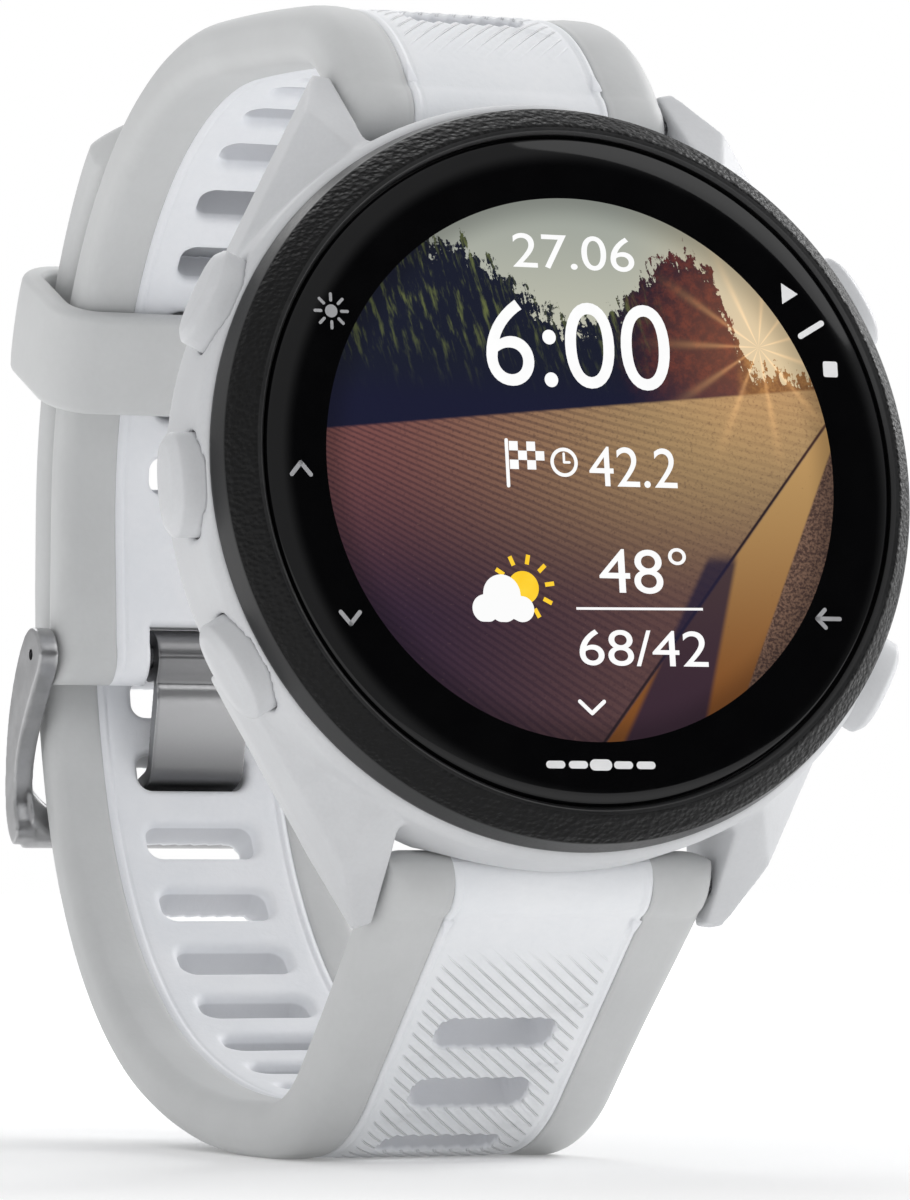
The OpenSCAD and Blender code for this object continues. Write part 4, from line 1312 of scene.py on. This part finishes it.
def art_material():
    """The image behind the glass: sky, shrubs and a road with a painted line, all from noise."""
    made, net, shader = material("display_road_image")
    place = net.attribute("local_mm")
    x, u, _ = net.split(place)
    grain = net.noise(place, 6.0, 4.0, 0.7)
    broad = net.noise(place, 0.35, 3.0)

    sky = net.mix(net.step(u, 15.0, 5.0), srgb(166, 171, 162), srgb(204, 203, 184))
    sky = net.mix(net.step(x, 2.0, 14.0), sky, srgb(214, 202, 165))

    blades = net.node("ShaderNodeMapping")
    net.feed(blades, Vector=net.join(net.plus(x, net.times(u, 0.25)), u), Scale=(2.6, 0.5, 1.0))
    blade = net.noise(blades.outputs[0], 1.0, 5.0, 0.62)
    leaf = net.noise(place, 1.6, 5.0, 0.7)
    crest = flat_curve(
        net,
        x,
        [(-16, 11.0), (-12, 12.3), (-8.4, 12.6), (-5.6, 11.6), (-3, 9.6), (-0.7, 8.2), (2.2, 8.8),
        (4.6, 11.4), (7.4, 12.0), (9.2, 9.2), (10.4, 6.2), (12, 5.7), (16, 5.7)],
    )
    rough_edge = net.times(net.less(net.plus(blade, leaf), 1.0), 4.6)
    shrub_at = net.step(net.less(net.plus(crest, rough_edge), u), -0.12, 0.12)
    lit = net.times(net.step(blade, 0.5, 0.72), net.step(u, 3.5, 9.5))
    shrub = net.mix(lit, srgb(24, 28, 44), srgb(104, 112, 66))
    right_side = net.mix(net.step(leaf, 0.4, 0.7), srgb(34, 22, 40), srgb(92, 44, 44))
    shrub = net.mix(net.step(x, 1.5, 6.0), shrub, right_side)
    shrub = net.mix(net.step(u, 6.0, 3.2), shrub, srgb(24, 26, 50))
    far = net.mix(net.step(leaf, 0.4, 0.65), srgb(96, 70, 44), srgb(150, 112, 66))
    shrub = net.mix(net.step(x, 9.4, 10.6), shrub, far)
    picture = net.mix(shrub_at, sky, shrub)

    angle = net.math("ARCTAN2", net.less(u, 12.0), net.plus(x, 40.0))
    wobble = net.times(broad, 1.2)
    wave = net.math("SINE", net.plus(net.times(angle, 620.0), wobble))
    groove = net.times(net.step(wave, -0.3, 0.8), net.step(x, 9.0, -6.0, 0.3, 1.0))
    near = net.mix(net.step(x, -13.0, 9.0), srgb(54, 38, 56), srgb(100, 72, 68))
    away = net.mix(net.step(x, -14.0, 10.0), srgb(126, 80, 76), srgb(178, 148, 104))
    road = net.mix(net.step(u, -9.0, 3.6), near, away)
    road = net.mix(net.times(groove, 0.42), road, srgb(38, 26, 42))
    speck = net.step(grain, 0.5, 0.3, 0.0, 0.4)
    road = net.mix(speck, road, srgb(52, 36, 44))
    road = net.mix(net.step(grain, 0.62, 0.85, 0.0, 0.3), road, srgb(190, 150, 130))

    strip = net.mix(net.step(u, -14.0, 3.0), srgb(128, 78, 36), srgb(190, 152, 98))
    strip = net.mix(net.step(grain, 0.66, 0.78), strip, srgb(90, 62, 44))
    right_of_left = line_side(net, x, u, (14.75, 2.42), (0.5, -15.16), 0.08)
    right_of_right = line_side(net, x, u, (15.2, 1.4), (9.12, -12.27), 0.08)
    road = net.mix(right_of_left, road, strip)
    verge = net.mix(net.step(grain, 0.4, 0.6), srgb(74, 56, 50), srgb(126, 98, 82))
    road = net.mix(right_of_right, road, verge)
    crack = net.times(line_side(net, x, u, (14.5, 2.42), (0.25, -15.16), 0.05),
        net.less(1.0, line_side(net, x, u, (14.7, 2.42), (0.45, -15.16), 0.05)))
    road = net.mix(crack, road, srgb(44, 32, 36))
    pole = net.times(line_side(net, x, u, (7.3, -4.7), (1.5, -15.2), 0.2),
        net.less(1.0, line_side(net, x, u, (9.0, -4.7), (6.2, -15.2), 0.2)))
    pole = net.times(pole, net.step(u, -4.4, -5.3))
    road = net.mix(net.times(pole, 0.86), road, srgb(34, 30, 54))

    horizon = net.plus(net.times(x, 0.105), 3.4)
    road_at = net.step(net.less(horizon, u), -0.08, 0.12)
    picture = net.mix(road_at, picture, road)

    fx, fu = net.less(x, 11.1), net.less(u, 7.2)
    far_off = net.length(fx, fu)
    glow = net.step(far_off, 9.0, 0.0, 0.0, 0.55)
    spokes = net.math("POWER", net.math("ABSOLUTE", net.math("SINE",
        net.times(net.math("ARCTAN2", fu, fx), 5.5))), 26.0)
    spokes = net.times(spokes, net.step(far_off, 8.0, 0.5, 0.0, 0.3))
    picture = net.add(picture, srgb(186, 118, 74), net.times(glow, 0.62))
    picture = net.add(picture, srgb(255, 196, 130), spokes)

    away_from_middle = net.length(x, u)
    picture = net.mix(net.step(away_from_middle, 13.5, 15.3, 0.0, 0.4), picture, srgb(6, 6, 8))
    net.feed(
        shader,
        Emission_Color=picture,
        Emission_Strength=0.92,
        Base_Color=(0.004, 0.004, 0.005, 1.0),
        Roughness=net.step(net.noise(place, 0.6), 0.3, 0.7, 0.03, 0.06),
        Specular_IOR_Level=0.4,
    )
    return made


def glass_material():
    made, net, shader = material("cover_glass_black")
    place = net.attribute("local_mm")
    haze = net.noise(place, 0.5, 3.0)
    net.feed(
        shader,
        Base_Color=net.mix(haze, srgb(4, 4, 5), srgb(9, 9, 10)),
        Roughness=net.step(haze, 0.3, 0.7, 0.03, 0.07),
        Specular_IOR_Level=0.3,
    )
    return made


def ink(name, low, high, glow):
    """A printed or lit mark with faint unevenness."""
    made, net, shader = material(name)
    cloud = net.noise(net.place(), 900.0, 3.0)
    tone = net.mix(cloud, low, high)
    net.feed(
        shader,
        Base_Color=tone if glow == 0 else net.mix(cloud, (0.004, 0.004, 0.004), (0.008, 0.008, 0.008)),
        Roughness=net.step(cloud, 0.3, 0.7, 0.3, 0.4),
    )
    if glow:
        net.feed(shader, Emission_Color=tone, Emission_Strength=glow)
    return made


def cloud_ink():
    made, net, shader = material("display_cloud_icon")
    _, u, _ = net.split(net.attribute("local_mm"))
    net.feed(
        shader,
        Emission_Color=net.mix(net.step(u, -8.8, -6.4), srgb(170, 186, 204), srgb(250, 250, 250)),
        Emission_Strength=1.0,
        Base_Color=(0.005, 0.005, 0.005, 1.0),
        Roughness=0.3,
    )
    return made


CASE = moulded("case_light_grey", srgb(212, 213, 215), srgb(203, 204, 206), (0.40, 0.52), 4300.0,
    0.000016, 0.4)
BUTTON = moulded("button_light_grey", srgb(214, 215, 217), srgb(206, 207, 209), (0.40, 0.5), 4600.0,
    0.000014, 0.4)
RAIL = strap_material("strap_grey_silicone", srgb(206, 207, 207), srgb(199, 200, 200), False)
KEEPER = strap_material("keeper_grey_silicone", srgb(209, 210, 210), srgb(202, 203, 203), False)
WHITE = strap_material("strap_white_silicone", srgb(243, 244, 247), srgb(236, 238, 242), False, WHITE_GRAIN)
RIBBED = strap_material("strap_white_ribbed", srgb(245, 246, 248), srgb(238, 240, 243), True, WHITE_GRAIN)
BEZEL_GRAIN = bezel_material()
BEZEL_SMOOTH = moulded("bezel_satin_black", srgb(20, 20, 21), srgb(12, 12, 13), (0.30, 0.40), 5200.0,
    0.000008, 0.3)
GLASS = glass_material()
ART = art_material()
INK = ink("display_white_mark", srgb(246, 246, 246), srgb(255, 255, 255), 1.0)
SUN_INK = ink("display_yellow_mark", srgb(250, 196, 20), srgb(255, 216, 40), 1.0)
CLOUD_INK = cloud_ink()
PRINT_GREY = ink("print_grey", srgb(150, 150, 152), srgb(166, 166, 168), 0)
PRINT_WHITE = ink("print_white", srgb(226, 226, 226), srgb(240, 240, 240), 0)
STEEL = metal("buckle_gunmetal", srgb(176, 176, 177), srgb(164, 164, 165), (0.28, 0.36),
    (1.0, 1.0, 1.0), 700.0)
PIN_STEEL = metal("buckle_pin_gunmetal", srgb(140, 140, 142), srgb(112, 112, 114), (0.26, 0.38))
TONGUE = tongue_material()
BACK = moulded("back_dark_polymer", srgb(58, 59, 62), srgb(44, 45, 48), (0.38, 0.5), 4200.0, 0.000016, 0.4)
SENSOR = moulded("sensor_dark_lens", srgb(14, 14, 17), srgb(8, 8, 10), (0.05, 0.09), 2600.0, 0.000002, 0.1)
INNER = moulded("inner_black_plastic", srgb(52, 52, 54), srgb(38, 38, 40), (0.45, 0.6), 4000.0, 0.00002, 0.5)
RUBBER = moulded("seal_black_rubber", srgb(36, 36, 37), srgb(26, 26, 27), (0.6, 0.75), 3600.0, 0.00002, 0.5)
BOARD = moulded("board_green_mask", srgb(24, 92, 60), srgb(14, 66, 42), (0.3, 0.45), 2400.0, 0.000012, 0.5)
CHIP = moulded("chip_black_epoxy", srgb(40, 40, 42), srgb(26, 26, 28), (0.5, 0.65), 5200.0, 0.00001, 0.5)
TIN = metal("tin_plate", srgb(214, 214, 212), srgb(190, 190, 188), (0.24, 0.4))
CELL = metal("cell_foil_pouch", srgb(190, 192, 196), srgb(160, 162, 168), (0.34, 0.5), (1.0, 8.0, 8.0),
    140.0)
FLEX = moulded("flex_amber_film", srgb(206, 128, 46), srgb(176, 98, 30), (0.25, 0.4), 2600.0, 0.000008, 0.4)
GOLD = metal("gold_plate", srgb(240, 206, 120), srgb(222, 182, 92), (0.2, 0.34))
LED = moulded("led_clear_resin", srgb(190, 224, 190), srgb(150, 200, 150), (0.1, 0.2), 2600.0, 0.000004, 0.3)
BAR_STEEL = metal("bar_steel", srgb(196, 196, 198), srgb(168, 168, 170), (0.22, 0.36),
    (1.0, 50.0, 50.0), 60.0)
DARK_STEEL = metal("screw_dark_steel", srgb(120, 120, 124), srgb(92, 92, 96), (0.28, 0.42))
PANEL = moulded("display_panel_dark", srgb(30, 32, 40), srgb(20, 22, 30), (0.15, 0.28), 2400.0,
    0.000004, 0.3)

CAD_FINISH = {
    INNER: ["mid_frame"],
    RUBBER: ["lens_gasket", "back_gasket", "button_seals"],
    BOARD: ["main_board", "sensor_board"],
    CHIP: ["board_chips"],
    TIN: ["shield_can", "vibration_motor", "side_switches"],
    CELL: ["battery"],
    FLEX: ["battery_flex"],
    GOLD: ["piezo_buzzer", "gps_antenna", "charge_contacts"],
    LED: ["sensor_leds"],
    PANEL: ["display_panel"],
    BACK: ["back_cover"],
    DARK_STEEL: ["back_screws", "motor_weight"],
    BAR_STEEL: [
        "bar_upper", "bar_lower", "pin_upper", "pin_lower", "spring_upper", "spring_lower",
        "clip_light", "clip_up", "clip_down", "clip_back", "clip_start",
    ],
}


def finish_cad_nodes():
    """Each CAD node that stays gets its finish and, where it shows, soft rims."""
    for finish, names in CAD_FINISH.items():
        for name in names:
            node = NODES[name]
            node.data.materials.clear()
            node.data.materials.append(finish)
    for name in ("back_cover", "back_screws", "charge_contacts", "pin_upper", "pin_lower"):
        bevel = NODES[name].modifiers.new("soft rims", "BEVEL")
        bevel.width = 0.00006
        bevel.segments = 2
        bevel.limit_method = "ANGLE"
        bevel.angle_limit = math.radians(40)


# ---------------------------------------------------------------- stage, light and camera
def make_stage():
    bpy.ops.mesh.primitive_plane_add(size=160.0, location=(0, 0, 0))
    floor = bpy.context.active_object
    floor.name = "floor"
    made, net, shader = material("floor_pale")
    cloud = net.noise(net.place(), 3.0, 3.0)
    net.feed(
        shader,
        Base_Color=net.mix(cloud, (0.84, 0.84, 0.84), (0.87, 0.87, 0.87)),
        Roughness=net.step(cloud, 0.3, 0.7, 0.55, 0.65),
        Specular_IOR_Level=0.0,
        Emission_Color=(1.0, 1.0, 1.0, 1.0),
    )
    # Painted shade: the floor glows so it reads white, and it glows less within about 3 to 13 cm of the
    # watch, which gives a darker patch round it.
    x, y, _ = net.split(net.place())
    away = net.length(x, y)
    net.put(shader.inputs["Emission Strength"], net.step(away, 0.03, 0.13, *FLOOR_GLOW_WITH_NEAR_SHADE))
    floor.data.materials.append(made)


def make_world():
    """White to the camera. A soft bright room to everything else, with one dark patch for the glass."""
    world = bpy.data.worlds.new("studio")
    SCENE.world = world
    world.use_nodes = True
    net = Net(world.node_tree)
    output = net.node("ShaderNodeOutputWorld")
    direction = net.node("ShaderNodeTexCoord").outputs["Generated"]
    x, _, z = net.split(direction)
    up = net.step(z, -0.2, 1.0, ROOM_LOW, ROOM_HIGH)
    left = net.step(x, -0.9, 0.9, 1.12, 0.94)
    level = net.times(up, left)
    spot = net.node("ShaderNodeVectorMath", operation="DOT_PRODUCT")
    net.put(spot.inputs[0], direction)
    spot.inputs[1].default_value = MIRROR_DIRECTION
    shade_at = net.step(spot.outputs["Value"], 0.985, 0.925, 0.02, 0.8)
    level = net.times(level, shade_at)
    room = net.node("ShaderNodeBackground")
    net.feed(room, Strength=level, Color=(0.985, 0.99, 1.0, 1.0))
    seen = net.node("ShaderNodeBackground")
    net.feed(seen, Strength=1.0, Color=(1.0, 1.0, 1.0, 1.0))
    path = net.node("ShaderNodeLightPath")
    both = net.node("ShaderNodeMixShader")
    net.put(both.inputs[0], path.outputs["Is Camera Ray"])
    world.node_tree.links.new(room.outputs[0], both.inputs[1])
    world.node_tree.links.new(seen.outputs[0], both.inputs[2])
    world.node_tree.links.new(both.outputs[0], output.inputs["Surface"])


def area_light(name, spot, aim, size, power):
    data = bpy.data.lights.new(name, "AREA")
    data.shape = "DISK"
    data.size = size
    data.energy = power
    light = bpy.data.objects.new(name, data)
    SCENE.collection.objects.link(light)
    light.location = spot
    light.rotation_euler = (Vector(aim) - Vector(spot)).to_track_quat("-Z", "Y").to_euler()
    data.specular_factor = 0.5


def make_lights():
    centre = (0.0, 0.0, 0.035)
    area_light("key_front_right", (0.34, -0.34, 0.42), centre, 0.34, 0.45)
    area_light("rim_right", (0.48, 0.12, 0.26), centre, 0.35, 1.3)
    area_light("back_top", (0.05, 0.45, 0.50), centre, 0.45, 0.9)


def make_camera():
    data = bpy.data.cameras.new("camera")
    data.sensor_width = 36.0
    data.lens = CAMERA_LENS
    data.clip_start = 0.01
    camera = bpy.data.objects.new("camera", data)
    SCENE.collection.objects.link(camera)
    turn = Matrix((CAMERA_RIGHT, CAMERA_UP, CAMERA_BACK)).transposed().to_4x4()
    camera.matrix_world = Matrix.Translation(CAMERA_AT) @ turn
    SCENE.camera = camera
    SCENE.view_settings.view_transform = "Standard"


make_camera()
make_world()
make_lights()
make_stage()
make_case()
make_bezel()
make_glass()
make_screen()
make_prints()
for button_label, button_angle in BUTTONS.items():
    make_button(button_label, button_angle)
make_back()
make_straps()
make_keeper()
make_buckle()
finish_cad_nodes()
